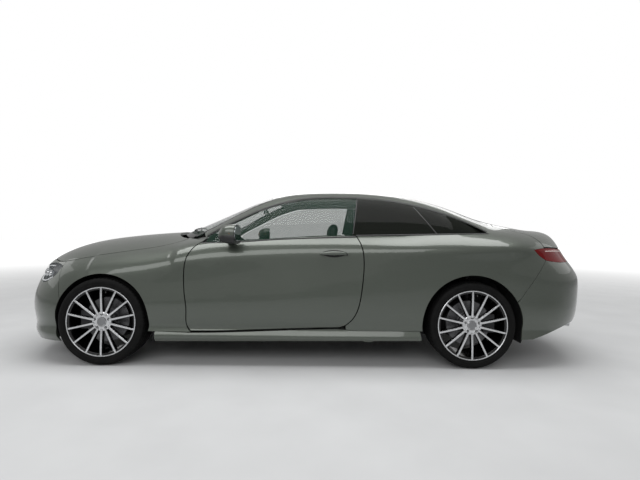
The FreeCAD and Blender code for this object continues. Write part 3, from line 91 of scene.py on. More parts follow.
class Finish:
    """A material under construction: its node tree, its shader and short ways to add nodes."""

    def __init__(self, name, color, roughness=0.5, metallic=0.0, **sockets):
        self.material = bpy.data.materials.new(name)
        self.material.use_nodes = True
        self.tree = self.material.node_tree
        self.shader = self.tree.nodes["Principled BSDF"]
        sockets = {"Base Color": color, "Roughness": roughness, "Metallic": metallic, **sockets}
        for socket, value in sockets.items():
            self.set(socket.replace("_", " "), value)

    def set(self, socket, value):
        self.shader.inputs[socket].default_value = value

    def add(self, kind, values=None, **settings):
        """New node with its settings and the values of its inputs."""
        node = self.tree.nodes.new(kind)
        for key, value in settings.items():
            setattr(node, key, value)
        for socket, value in (values or {}).items():
            node.inputs[socket].default_value = value
        return node

    def link(self, a, b):
        self.tree.links.new(a, b)

    def where(self):
        return self.add("ShaderNodeTexCoord").outputs["Object"]

    def noise(self, scale, detail=3.0, rough=0.5):
        node = self.add("ShaderNodeTexNoise", {"Scale": scale, "Detail": detail, "Roughness": rough})
        self.link(self.where(), node.inputs["Vector"])
        return node.outputs["Fac"]

    def cells(self, scale, feature="F1"):
        """Distances in a pattern of cells."""
        node = self.add("ShaderNodeTexVoronoi", {"Scale": scale}, feature=feature)
        self.link(self.where(), node.inputs["Vector"])
        return node.outputs["Distance"]

    def colour(self, factor, low, high, a=0.3, b=0.7):
        """Base colour from low at factor a to high at factor b."""
        ramp = self.add("ShaderNodeValToRGB")
        for stop, spot, color in zip(ramp.color_ramp.elements, (a, b), (low, high)):
            stop.position = spot
            stop.color = color
        self.link(factor, ramp.inputs["Fac"])
        self.link(ramp.outputs["Color"], self.shader.inputs["Base Color"])

    def rough(self, factor, low, high):
        span = self.add("ShaderNodeMapRange", {"To Min": low, "To Max": high})
        self.link(factor, span.inputs["Value"])
        self.link(span.outputs["Result"], self.shader.inputs["Roughness"])

    def bump(self, height, strength, distance):
        node = self.add("ShaderNodeBump", {"Strength": strength, "Distance": distance})
        self.link(height, node.inputs["Height"])
        self.link(node.outputs["Normal"], self.shader.inputs["Normal"])


def car_paint():
    f = Finish("paint", lin(80, 86, 79), 0.36, 0.55, Coat_Weight=1.0, Coat_Roughness=0.03, Coat_IOR=1.5)
    f.colour(f.cells(2600.0), lin(70, 76, 69), lin(90, 96, 88), 0.1, 0.9)
    f.rough(f.noise(7.0), 0.33, 0.41)
    return f.material


def clear_glass(name, tint, alpha, shine=0.5):
    f = Finish(name, tint, 0.0, 0.0, IOR=1.45, Alpha=alpha, Specular_IOR_Level=shine)
    f.colour(f.noise(6.0), dimmed(tint, 0.94), tint)
    f.rough(f.noise(12.0, 1.0), 0.0, 0.004)
    return f.material


def plastic(name, color, low, high, scale, strength, distance):
    f = Finish(name, color, low)
    grain = f.noise(scale, 4.0)
    f.colour(f.noise(scale / 20), dimmed(color, 0.8), color)
    f.rough(grain, low, high)
    f.bump(grain, strength, distance)
    return f.material


def metal(name, color, low, high, scale, strength=0.1, distance=0.0003):
    f = Finish(name, color, low, 1.0)
    streaks = f.noise(scale, 4.0, 0.6)
    f.colour(streaks, dimmed(color, 0.82), color)
    f.rough(streaks, low, high)
    f.bump(streaks, strength, distance)
    return f.material


def rubber():
    f = Finish("tyre_rubber", lin(18, 18, 18), 0.72, Specular_IOR_Level=0.12)
    f.colour(f.noise(18.0), lin(15, 15, 15), lin(22, 22, 22))
    f.rough(f.noise(60.0), 0.62, 0.82)
    f.bump(f.noise(900.0, 2.0), 0.15, 0.0004)
    return f.material


def leather(name, color):
    f = Finish(name, color, 0.5)
    grain = f.cells(420.0, "DISTANCE_TO_EDGE")
    f.colour(f.noise(9.0), dimmed(color, 0.75), color)
    f.rough(f.noise(25.0), 0.42, 0.6)
    f.bump(grain, 0.25, 0.0006)
    return f.material


def cloth(name, color):
    f = Finish(name, color, 0.9)
    f.set("Sheen Weight", 0.3)
    weave = f.cells(900.0)
    f.colour(weave, dimmed(color, 0.6), color, 0.1, 0.8)
    f.bump(weave, 0.4, 0.0006)
    return f.material


PAINT = car_paint()
CLEAR = clear_glass("window_glass", lin(40, 66, 54), 0.27, 0.3)
DARK_GLASS = clear_glass("privacy_glass", lin(28, 30, 27), 0.90, 0.06)
LENS = clear_glass("lamp_lens", lin(196, 202, 206), 0.12, 0.5)
RED = clear_glass("red_lens", lin(104, 6, 8), 0.97, 0.2)
BLACK_GLOSS = plastic("gloss_black", lin(14, 14, 15), 0.08, 0.16, 300.0, 0.02, 0.0002)
BLACK_SATIN = plastic("satin_black", lin(24, 25, 26), 0.38, 0.52, 900.0, 0.15, 0.0003)
BLACK_MATT = plastic("matt_black", lin(28, 28, 29), 0.7, 0.85, 600.0, 0.25, 0.0005)
TRIM = plastic("cabin_trim", lin(40, 41, 43), 0.5, 0.65, 1500.0, 0.3, 0.0004)
STRUCTURE = plastic("primer", lin(58, 61, 61), 0.5, 0.7, 220.0, 0.15, 0.0005)
CAST = metal("cast_iron", lin(92, 92, 94), 0.5, 0.7, 160.0, 0.3, 0.0008)
ALLOY = metal("cast_alloy", lin(150, 151, 153), 0.4, 0.6, 140.0, 0.3, 0.0008)
MACHINED = metal("machined_alloy", lin(222, 223, 225), 0.2, 0.32, 60.0)
DISC = metal("disc_steel", lin(112, 112, 114), 0.3, 0.45, 90.0)
CHROME = metal("bright_metal", lin(225, 226, 228), 0.05, 0.12, 20.0, 0.02, 0.0002)
PIPE = metal("pipe_steel", lin(150, 147, 142), 0.3, 0.45, 40.0)
RUBBER = rubber()
LEATHER = leather("leather", lin(48, 48, 51))
CARPET = cloth("carpet", lin(34, 34, 36))
HEADLINER = cloth("headliner", lin(150, 150, 146))
MIRROR_GLASS = metal("mirror_glass", lin(205, 210, 212), 0.0, 0.02, 10.0, 0.01, 0.0001)
AMBER = plastic("amber_lens", lin(205, 110, 20), 0.06, 0.12, 400.0, 0.02, 0.0002)
PALE_LENS = plastic("pale_lens", lin(226, 205, 200), 0.06, 0.14, 400.0, 0.05, 0.0002)
SCREEN = plastic("screen_glass", lin(9, 10, 13), 0.03, 0.07, 300.0, 0.01, 0.0001)
WEBBING = cloth("belt_webbing", lin(36, 36, 37))
WHITE_LIGHT = plastic("light_guide", lin(236, 238, 240), 0.1, 0.2, 400.0, 0.02, 0.0002)
PROJECTOR = clear_glass("projector_lens", lin(150, 160, 172), 0.75)
PLATE = plastic("plate_white", lin(222, 223, 221), 0.3, 0.42, 700.0, 0.04, 0.0002)

NODE_FINISHES = (
    (PAINT, "fenders quarters sills roof_rails roof front_bumper rear_bumper left_door right_door "
            "bonnet boot_lid left_mirror right_mirror"),
    (CLEAR, "glass left_door_glass right_door_glass"), (LENS, "headlamps"), (RED, "tail_lamps"),
    (BLACK_GLOSS, "grille"), (BLACK_MATT, "cowl wheel_liners"), (BLACK_SATIN, "fuel_tank"),
    (LEATHER, "steering_wheel seat_cushions seat_backs rear_bench rear_backrest"),
    (TRIM, "dashboard cabin_sides parcel_shelf"), (CARPET, "floor"), (HEADLINER, "roof_frame"),
    (STRUCTURE, "bulkhead front_frame boot_tub"), (ALLOY, "engine"), (PIPE, "exhaust"),
    (CAST, "front_axle rear_axle left_knuckle right_knuckle"),
)
FINISH_OF = {name: finish for finish, names in NODE_FINISHES for name in names.split()}
for name, node in NODES.items():
    finish = FINISH_OF.get(name) or (RUBBER if name.endswith("tyre") else MACHINED)
    node.data.materials.clear()
    node.data.materials.append(finish)


# Ways to build meshes
def around(count):
    """Even angles of a full turn."""
    return [2 * math.pi * k / count for k in range(count)]


def shifted(spot):
    return Matrix.Translation(spot)


def spin(degrees, axis):
    return Matrix.Rotation(math.radians(degrees), 4, axis)


def aimed(spot, way):
    """Moves a shape to a spot and turns its x axis along a way."""
    return shifted(spot) @ way.to_track_quat("X", "Z").to_matrix().to_4x4()


def signed_power(value, power):
    return abs(value) ** power * (1 if value > 0 else -1)


def make_piece(name, mesh, body, replaces=()):
    """A piece riding on its body; it takes the place of the CAD nodes it replaces."""
    piece = linked(name, mesh)
    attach(piece, body)
    if replaces:
        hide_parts(*replaces)
    return piece


class Shape:
    """A mesh under construction: corners, and faces with their material and smoothness."""

    def __init__(self):
        self.corners = []
        self.faces = []

    def add(self, corners, faces, finish=0):
        start = len(self.corners)
        self.corners += [Vector(c) for c in corners]
        self.faces += [([start + i for i in face], finish, True) for face in faces]
        return self

    def join(self, other, matrix=None):
        """Adds another shape, moved by a matrix; a matrix that mirrors turns the faces over."""
        matrix = matrix or Matrix()
        flip = matrix.to_3x3().determinant() < 0
        start = len(self.corners)
        self.corners += [matrix @ c for c in other.corners]
        for face, finish, smooth in other.faces:
            face = [start + i for i in face]
            self.faces.append((face[::-1] if flip else face, finish, smooth))
        return self

    def grid(self, rows, finish=0, close_rows=False, close_columns=False):
        """Faces between rows of points; either way round can close on itself."""
        across, down = len(rows[0]), len(rows)
        faces = []
        for i in range(down if close_rows else down - 1):
            for j in range(across if close_columns else across - 1):
                a, b = i * across, (i + 1) % down * across
                k = (j + 1) % across
                faces.append((a + j, a + k, b + k, b + j))
        return self.add([p for row in rows for p in row], faces, finish)

    def loft(self, rings, finish=0):
        """Closed rings joined into a skin with flat ends."""
        self.grid(rings, finish, close_columns=True)
        count = len(rings[0])
        start = len(self.corners) - count * len(rings)
        self.faces.append(([start + i for i in reversed(range(count))], finish, False))
        start = len(self.corners) - count
        self.faces.append(([start + i for i in range(count)], finish, False))
        return self

    def lathe(self, profile, place, finish=0, segments=96, closed=True):
        """Profile of (along, radius) points turned about the local X axis of a placing matrix."""
        rows = [[place @ Vector((t, r * math.cos(a), r * math.sin(a))) for t, r in profile]
                for a in around(segments)]
        return self.grid(rows, finish, close_rows=True, close_columns=closed)

    def tube(self, points, radius, finish=0, sides=10, flat=1.0, up=Vector((0, 0, 1))):
        """Round or flattened bar along points; flat is its height as a share of its width."""
        points = [Vector(p) for p in points]
        rings = []
        for i, p in enumerate(points):
            way = (points[min(i + 1, len(points) - 1)] - points[max(i - 1, 0)]).normalized()
            side = way.cross(up).normalized()
            top = side.cross(way)
            rings.append([p + side * (radius * math.cos(a)) + top * (radius * flat * math.sin(a))
                          for a in around(sides)])
        return self.loft(rings, finish)

    def brick(self, low, high, edge, finish=0, steps=2):
        """Box with its edges rounded off."""
        low, high = Vector(low), Vector(high)
        mesh = bmesh.new()
        size = high - low
        bmesh.ops.create_cube(mesh, size=1.0)
        bmesh.ops.scale(mesh, vec=size, verts=mesh.verts)
        bmesh.ops.translate(mesh, vec=(low + high) / 2, verts=mesh.verts)
        bmesh.ops.bevel(mesh, geom=mesh.edges[:], offset=edge, segments=steps, profile=0.6,
                        affect="EDGES")
        mesh.verts.index_update()
        self.add([v.co.copy() for v in mesh.verts],
                 [[v.index for v in f.verts] for f in mesh.faces], finish)
        mesh.free()
        return self

    def object(self, name, body, finishes, slot, replaces=(), sharp=35.0):
        """The finished piece; edges above the sharp angle in degrees stay crisp."""
        mesh = bpy.data.meshes.new(name)
        mesh.from_pydata([tuple(c) for c in self.corners], [], [face for face, _, _ in self.faces])
        mesh.polygons.foreach_set("material_index", [finish for _, finish, _ in self.faces])
        mesh.polygons.foreach_set("use_smooth", [smooth for _, _, smooth in self.faces])
        mesh.validate()
        mesh.set_sharp_from_angle(angle=math.radians(sharp))
        for finish in finishes:
            mesh.materials.append(finish)
        return make_piece(name, mesh, body, replaces)


MIRROR_Y = Matrix.Diagonal((1, -1, 1, 1))
SIDES = (("left", Matrix()), ("right", MIRROR_Y))
REFERENCE_SHIFT = 134.5


def at(r, y, z):
    """A point from the styling stations, half widths and levels in millimetres."""
    return Vector(((r - REFERENCE_SHIFT) / 1000, y / 1000, z / 1000))


def smooth_path(points, count):
    """Evenly numbered points on a smooth curve through the given ones."""
    points = [Vector(p) for p in points]
    ends = [points[0] * 2 - points[1]] + points + [points[-1] * 2 - points[-2]]
    path = []
    spans = len(points) - 1
    for n in range(count):
        t = n * spans / (count - 1)
        i = min(int(t), spans - 1)
        t -= i
        a, b, c, d = ends[i:i + 4]
        path.append((b * 2 + (c - a) * t + (a * 2 - b * 5 + c * 4 - d) * t**2
                     + (b * 3 - a - c * 3 + d) * t**3) / 2)
    return path


def skin(*names):
    """Search tree over CAD nodes, to lay pieces on their surfaces."""
    corners, faces = [], []
    for name in names:
        mesh, place = NODES[name].data, NODES[name].matrix_world
        start = len(corners)
        corners += [place @ v.co for v in mesh.vertices]
        faces += [[start + i for i in p.vertices] for p in mesh.polygons]
    return BVHTree.FromPolygons(corners, faces)


def laid(tree, points, way):
    """Where rays along way from outside meet the surface, with the outward normals."""
    way = Vector(way).normalized()
    found = []
    for p in points:
        spot, normal, _, _ = tree.ray_cast(Vector(p) - way * 4, way)
        if spot is not None:
            found.append((spot, normal if normal.dot(way) < 0 else -normal))
    return found


def eased(found, passes=6):
    """Found points with their normals averaged along the row, so that facets and edges don't show."""
    closed = len(found) > 3 and (found[0][0] - found[-1][0]).length < 1e-6
    spots = [spot for spot, _ in found]
    normals = [normal for _, normal in found]
    last = len(found) - 1
    first_before, last_after = (last - 1, 1) if closed else (0, last)
    for _ in range(passes):
        normals = [(normals[i - 1 if i else first_before] + n * 2
                    + normals[i + 1 if i < last else last_after]).normalized()
                   for i, n in enumerate(normals)]
    return list(zip(spots, normals))


def strip(shape, found, width, proud, finish=0, sunk=0.002):
    """Flat moulding along points on a surface: proud of it by one depth and sunk by another."""
    if len(found) < 2:
        raise ValueError("a moulding misses its surface")
    found = eased(found)
    rings = []
    for i, (spot, normal) in enumerate(found):
        way = (found[min(i + 1, len(found) - 1)][0] - found[max(i - 1, 0)][0]).normalized()
        side = way.cross(normal).normalized() * (width / 2)
        rings.append([spot - side - normal * sunk, spot - side + normal * proud * 0.6,
                      spot - side * 0.6 + normal * proud, spot + side * 0.6 + normal * proud,
                      spot + side + normal * proud * 0.6, spot + side - normal * sunk])
    shape.loft(rings, finish)


# Wheels, drawn with x pointing outboard from the tyre's inner face: axle, radius and tyre width
WHEELS = {
    "front_left": (-1.571, -0.8025, 0.339, 0.245), "front_right": (-1.571, 0.8025, 0.339, 0.245),
    "rear_left": (1.302, -0.793, 0.336, 0.265), "rear_right": (1.302, 0.793, 0.336, 0.265),
}
SPOKES = 14
SPOKE_FOOT, SPOKE_END = 0.060, 0.2615
BOLTS = 5
DISC_HOLES = 22
TREAD_BLOCKS = 68


def wheel_place(x, y, radius, width):
    out = 1 if y > 0 else -1
    return shifted((x, y - out * width / 2, radius)) @ spin(90 * out, "Z")


def dot(shape, x, y, z, radius, finish, sides=16, depth=0.0015):
    """Small disc with a low edge, facing outboard."""
    shape.loft([[(along, y + r * math.cos(a), z + r * math.sin(a)) for a in around(sides)]
                for along, r in ((x - depth, radius), (x, radius * 0.96))], finish)


def rim_shape(w):
    """Wheel with thin machined spokes over gloss black, and the brake disc behind them."""
    s = Shape()
    here = Matrix()
    black, machined, disc, bright, grey = range(5)
    s.lathe([(0.006, 0.247), (0.0055, 0.266), (0.008, 0.2705), (0.0125, 0.2695), (0.015, 0.262),
             (0.019, 0.2535), (w - 0.019, 0.2535), (w - 0.0165, 0.262), (w - 0.0165, 0.2535),
             (w - 0.019, 0.2485), (0.02, 0.2465)], here, black, 112)
    s.lathe([(w - 0.016, 0.2605), (w - 0.0145, 0.2675), (w - 0.0115, 0.2705), (w - 0.0075, 0.2702),
             (w - 0.0056, 0.2675), (w - 0.0060, 0.2640), (w - 0.0078, 0.2618), (w - 0.0120, 0.2605)],
            here, machined, 112)
    body, face = [], []
    for k in range(11):
        t = k / 10
        r = SPOKE_FOOT + t * (SPOKE_END - SPOKE_FOOT)
        half = 0.0074 - 0.0014 * t
        x = w - 0.0215 + 0.0105 * (1 - (1 - t) ** 2) - 0.0015 * t**4
        wide = half + 0.0035 + 0.003 * (1 - math.sin(math.pi * t))
        body.append([(x - 0.031, -wide, r), (x - 0.0014, -half - 0.0008, r),
                     (x - 0.0014, half + 0.0008, r), (x - 0.031, wide, r)])
        face.append([(x - 0.0016, -half - 0.0009, r), (x - 0.0003, -half, r), (x, -half * 0.6, r),
                     (x, half * 0.6, r), (x - 0.0003, half, r), (x - 0.0016, half + 0.0009, r)])
    spoke = Shape().loft(body, black).grid(face, machined)
    for a in around(SPOKES):
        s.join(spoke, Matrix.Rotation(a, 4, "X"))
    s.lathe([(w - 0.064, 0.0755), (w - 0.034, 0.0765), (w - 0.0275, 0.0745), (w - 0.0245, 0.070),
             (w - 0.0235, 0.041), (w - 0.0245, 0.037), (w - 0.030, 0.0355), (w - 0.064, 0.0355)],
            here, machined, 96)
    # Each bolt head sits on a black disc that stands for its deep bore: painted shade drawn flat on the
    # face
    for a in around(BOLTS):
        for back, ring, turn, radius, finish, sides in (
                (0.0226, 0.056, a, 0.0102, black, 24), (0.0218, 0.056, a, 0.0062, grey, 6),
                (0.0230, 0.0625, a + math.pi / BOLTS, 0.0036, black, 12)):
            dot(s, w - back, ring * math.sin(turn), ring * math.cos(turn), radius, finish, sides)
    s.lathe([(w - 0.030, 0.0352), (w - 0.0205, 0.0352), (w - 0.0192, 0.0335), (w - 0.0205, 0.0318),
             (w - 0.030, 0.0318)], here, bright, 64)
    s.lathe([(w - 0.030, 0.0318), (w - 0.0212, 0.0316), (w - 0.0200, 0.026), (w - 0.0190, 0.014),
             (w - 0.0186, 0.0)], here, grey, 64, closed=False)
    hat, edge = w - 0.065, 0.1760
    s.lathe([(hat, 0.036), (hat, 0.083), (hat - 0.003, 0.0875), (w - 0.113, 0.0880), (w - 0.115, 0.091),
             (w - 0.115, edge - 0.001), (w - 0.116, edge), (w - 0.1245, edge), (w - 0.1248, edge - 0.012),
             (w - 0.1352, edge - 0.012), (w - 0.1355, edge), (w - 0.144, edge), (w - 0.145, edge - 0.001),
             (w - 0.145, 0.081), (w - 0.073, 0.079), (w - 0.073, 0.036)], here, disc, 96)
    # Black dots on the disc face stand for its drilled holes: painted shade in place of real holes
    for row in (0.105, 0.122, 0.139, 0.156):
        for n in range(DISC_HOLES):
            a = 2 * math.pi * (n + (row * 100 % 1)) / DISC_HOLES
            dot(s, w - 0.1147, row * math.sin(a), row * math.cos(a), 0.0030, black, 8, 0.001)
    s.tube([(w - 0.03, 0.035, 0.2470), (w - 0.022, 0.035, 0.236), (w - 0.017, 0.035, 0.222)],
           0.0035, black, 8, up=Vector((0, 1, 0)))
    return s


def tyre_shape(w, radius):
    """Tyre with rounded sidewalls, four grooves round it and shoulder blocks."""
    mm = 0.001
    half = [(a * mm, b * mm) for a, b in (
        (13.5, 268), (12, 272), (8, 279), (5, 283.5), (2.4, 286), (1.6, 288.5), (2.4, 291),
        (2.2, 296), (0.6, 301), (0.3, 306), (1.2, 312), (3.2, 318), (6.2, 323.5))]
    crown = [(a * mm, radius - b * mm) for a, b in (
        (9.5, 10.0), (13.5, 7.0), (19, 4.6), (26, 3.0), (34, 2.0))]
    tread = []
    for share in (0.215, 0.405):
        g = w * share
        level = radius - (1.4 if share < 0.3 else 0.4) * mm
        tread += [(g - 5 * mm, level), (g - 4 * mm, level - 6.5 * mm), (g + 4 * mm, level - 6.5 * mm),
                  (g + 5 * mm, level)]
    left = half + crown + tread
    profile = left + [(w - a, b) for a, b in reversed(left)] + [(w - 20 * mm, 0.262), (20 * mm, 0.262)]
    first, last = len(half), len(half) + len(crown)
    rows = []
    for n in range(TREAD_BLOCKS):
        for share, cut in ((0.0, 0.0), (0.74, 0.0), (0.79, 1.0), (0.95, 1.0)):
            a = 2 * math.pi * (n + share) / TREAD_BLOCKS
            row = []
            for k, (x, r) in enumerate(profile):
                mirror = 2 * len(left) - 1 - k
                if first < k < last or first < mirror < last:
                    r -= cut * 3.2 * mm
                row.append((x, r * math.sin(a), r * math.cos(a)))
            rows.append(row)
    return Shape().grid(rows, 0, close_rows=True, close_columns=True)


for name, (x, y, radius, width) in WHEELS.items():
    place = wheel_place(x, y, radius, width)
    Shape().join(rim_shape(width), place).object(
        name + "_alloy", name + "_wheel", [BLACK_GLOSS, MACHINED, DISC, CHROME, ALLOY], "rim",
        [name + "_rim"], 32)
    Shape().join(tyre_shape(width, radius), place).object(
        name + "_rubber", name + "_wheel", [RUBBER], "tyre", [name + "_tyre"], 30)


# Windows
def panes():
    """Copy of the fixed glass with the panes behind the doors darkened."""
    mesh = NODES["glass"].data.copy()
    mesh.materials.clear()
    for finish in (CLEAR, DARK_GLASS):
        mesh.materials.append(finish)
    behind_doors = at(400, 0, 0).x
    for face in mesh.polygons:
        face.material_index = int(face.center.x > behind_doors)
    make_piece("fixed_panes", mesh, "body", ["glass"])


panes()


# Mouldings around the windows
WINDOW_TOP = [(-690, 990), (-570, 1062), (-412, 1141), (-267, 1213), (-94, 1276), (81, 1317),
              (320, 1337), (558, 1333), (762, 1318), (1016, 1275), (1266, 1205), (1453, 1135),
              (1560, 1085), (1600, 1052)]
BELT = [(-688, 967), (-381, 979), (-15, 1005), (535, 1027)]
INWARD = (0, 1, 0)
DOWN = (0, 0, -1)
BACKWARD = (1, 0, 0)
FORWARD = (-1, 0, 0)


def side_points(pairs, count, lift=0.0):
    return smooth_path([at(r, 0, z + lift) for r, z in pairs], count)


def both(name, shape, body, finishes, slot, sharp=35.0):
    """A left piece on a door and its mirror image on the other."""
    for side, matrix in SIDES:
        Shape().join(shape, matrix).object(f"{side}_{name}", f"{side}_{body}", finishes, slot, (), sharp)


def twice(shape):
    """A left shape joined with its mirror image."""
    return Shape().join(shape).join(shape, MIRROR_Y)


side_skin = skin("roof_rails", "quarters")
door_skin = skin("left_door")
pane_skin = skin("glass", "left_door_glass")
trim = Shape()
for tree, pairs, count, lift, width, proud, sunk in (
        (side_skin, WINDOW_TOP, 90, 9, 0.021, 0.004, 0.002),
        (side_skin, [(540, 1027), (1187, 1042), (1606, 1053)], 40, -6, 0.012, 0.0035, 0.002),
        (pane_skin, [(1004, 1300), (1200, 1024)], 16, 0, 0.010, 0.0015, 0.0),
        (pane_skin, [(514, 1032), (562, 1328)], 16, 0, 0.008, 0.0015, 0.0)):
    strip(trim, laid(tree, side_points(pairs, count, lift), INWARD), width, proud, 0, sunk)
twice(trim).object("window_trim", "body", [BLACK_SATIN], "black_plastic")
belt = Shape()
strip(belt, laid(door_skin, side_points(BELT, 60, -14), INWARD), 0.011, 0.0035)
both("belt_trim", belt, "door", [BLACK_GLOSS], "black_plastic")


def top_points(pairs, count):
    return smooth_path([at(r, y, 0) for r, y in pairs], count)


# Windscreen and rear window: dark borders, heating wires and wipers
screen = skin("glass")
border = Shape()
for line, count, wide in (
        ([(-990, 0), (-951, -295), (-862, -515), (-800, -600)], 30, 0.050),
        ([(-790, -612), (-618, -586), (-400, -542), (-135, -490)], 30, 0.034),
        ([(-135, -490), (-178, -255), (-196, 0)], 24, 0.050),
        ([(1036, 0), (1020, -255), (978, -485)], 24, 0.050),
        ([(978, -488), (1200, -499), (1450, -515), (1676, -541)], 30, 0.030),
        ([(1676, -541), (1728, -295), (1746, 0)], 30, 0.050)):
    strip(border, laid(screen, top_points(line, count), DOWN), wide, 0.0010, 0, 0.0)
twice(border).object("glass_borders", "body", [BLACK_GLOSS], "black_plastic")
wires = Shape()
UNDER_GLASS = 0.0072
for n in range(11):
    r = 1085 + n * 56
    half = 470 + n * 3.5
    found = laid(screen, [at(r - abs(k) / 2, half * k / 12, 0) for k in range(-12, 13)], DOWN)
    found = [(spot - normal * UNDER_GLASS, -normal) for spot, normal in found]
    strip(wires, found, 0.0018, 0.0006, 0, 0.0)
wires.object("rear_window_wires", "body", [BLACK_SATIN], "black_plastic")

wipers = Shape()
for pivot, path in (((-1000, 300), [(-930, 280), (-912, 60), (-918, -150), (-905, -290)]),
                    ((-1010, -90), [(-925, -60), (-893, -240), (-850, -400), (-800, -520)])):
    found = laid(screen, top_points(path, 26), DOWN)
    slope = sum((normal for _, normal in found), Vector()).normalized()
    blade = smooth_path([spot for spot, _ in found][::5], 26)
    wipers.tube([p + slope * 0.004 for p in blade], 0.003, 0, 8, 1.4, slope)
    wipers.tube([p + slope * 0.008 for p in blade[2:-2]], 0.005, 0, 8, 0.5, slope)
    middle = blade[12] + slope * 0.011
    base = at(pivot[0], pivot[1], 914)
    wipers.tube(smooth_path([base, base.lerp(middle, 0.3) + slope * 0.006, middle], 14), 0.005, 0, 8, 0.8)
    wipers.lathe([(-0.010, 0.0), (-0.010, 0.013), (0.005, 0.012), (0.008, 0.009), (0.008, 0.0)],
                 shifted(base) @ spin(-90, "Y"), 0, 24, False)
wipers.object("wipers", "body", [BLACK_SATIN], "black_plastic")


# Door mirrors
MIRROR_MIDDLE = -960
MIRROR_LEAN = 8


def ring(r, half_y, half_z, z, power=2.6):
    """Rounded outline of a mirror at station r, leaning backwards along its width."""
    points = []
    for a in around(28):
        y = MIRROR_MIDDLE + half_y * signed_power(math.cos(a), 2 / power)
        points.append(at(r + MIRROR_LEAN * (y - MIRROR_MIDDLE) / half_y, y,
                         z + half_z * signed_power(math.sin(a), 2 / power)))
    return points


def mirror_shape():
    s = Shape()
    s.loft([ring(*row) for row in (
        (-507, 18, 14, 1018), (-500, 44, 34, 1022), (-485, 66, 50, 1026), (-462, 80, 61, 1030),
        (-436, 87, 67, 1032), (-410, 90, 69, 1032), (-388, 90, 69, 1031), (-376, 87, 67, 1031))], 0)
    s.loft([ring(*row, 3.2) for row in (
        (-500, 42, 20, 1004), (-485, 67, 33, 1000), (-462, 81.5, 40, 998), (-436, 88.5, 44, 997),
        (-410, 91.5, 46, 996), (-388, 91.5, 46, 996), (-374, 88.5, 45, 996))], 1)
    s.loft([ring(r, 83, 62, 1030) for r in (-377, -372)], 1)
    s.loft([ring(r, 80, 59, 1030) for r in (-373, -369.5)], 2)
    s.tube([at(-505 + 90 * abs(k - 9) ** 2.2 / 9 ** 2.2, MIRROR_MIDDLE + 9.6 * (k - 9), 1029)
            for k in range(19)], 0.0055, 3, 8, 0.8)
    s.loft([[at((r0 + r1) / 2 + (r1 - r0) / 2 * math.cos(a), y,
                (z0 + z1) / 2 + (z1 - z0) / 2 * math.sin(a)) for a in around(20)]
            for y, r0, r1, z0, z1 in (
                (-815, -486, -404, 966, 985), (-850, -482, -408, 966, 990), (-880, -478, -412, 968, 996),
                (-915, -474, -416, 972, 1004), (-940, -470, -420, 976, 1010))], 1)
    return s


for side, matrix in SIDES:
    Shape().join(mirror_shape(), matrix).object(
        f"{side}_mirror_shell", f"{side}_door", [PAINT, BLACK_SATIN, MIRROR_GLASS, AMBER], "black_plastic",
        [f"{side}_mirror"], 40)


# Door handles
def handle_shape():
    s = Shape()
    rings = []
    for k in range(29):
        t = k / 28
        swell = math.sin(math.pi * t) ** 0.5
        height, thick = 2 + 13 * swell, 2 + 11 * swell
        y = -929 - 8 * math.sin(math.pi * t)
        z = 881 + 6 * math.sin(math.pi * t)
        rings.append([at(251 + 226 * t, y + thick * math.cos(a), z + height * math.sin(a))
                      for a in around(18)])
    s.loft(rings, 0)
    # A lens-shaped sheet of gloss black laid just off the door skin around the handle: painted shade
    # standing in for the shadow inside the handle's recess cup
    rows = []
    for k in range(25):
        r = 262 + 200 * k / 24
        half = 31 * math.sin(math.pi * (k + 0.5) / 25) ** 0.7
        found = laid(door_skin, [at(r, 0, 884 + half * j / 6) for j in range(-6, 6)], INWARD)
        rows.append([spot + normal * 0.0006 for spot, normal in found])
    s.grid(rows, 1)
    s.lathe([(0.0, 0.0), (0.0, 0.006), (0.003, 0.0055), (0.003, 0.0)],
            shifted(at(462, -934, 876)) @ spin(-90, "Z"), 1, 20, False)
    return s


both("handle_pull", handle_shape(), "door", [PAINT, BLACK_GLOSS], "paint")


# Lamps
def scaled_copy(node, share, shift, finish, name, replaces=()):
    """Copy of a CAD node; every solid of it is drawn in about its own centre and moved inwards."""
    mesh = NODES[node].data.copy()
    mesh.materials.clear()
    mesh.materials.append(finish)
    for side in (-1, 1):
        chosen = [v for v in mesh.vertices if v.co.y * side > 0]
        centre = sum((v.co for v in chosen), Vector()) / len(chosen)
        move = Vector(shift) * Vector((1, side, 1))
        for v in chosen:
            v.co = centre + (v.co - centre) * share + move
    make_piece(name, mesh, "body", replaces)


lamp_skin = skin("headlamps")
NOSE_WAY = Vector((0.78, 0.62, 0.0))


def on_lamp(r, y, z):
    """Point on the headlamp's outer face, and its normal."""
    found = laid(lamp_skin, [at(r, y, z)], NOSE_WAY)
    return found[0] if found else (at(r, y, z), -NOSE_WAY)


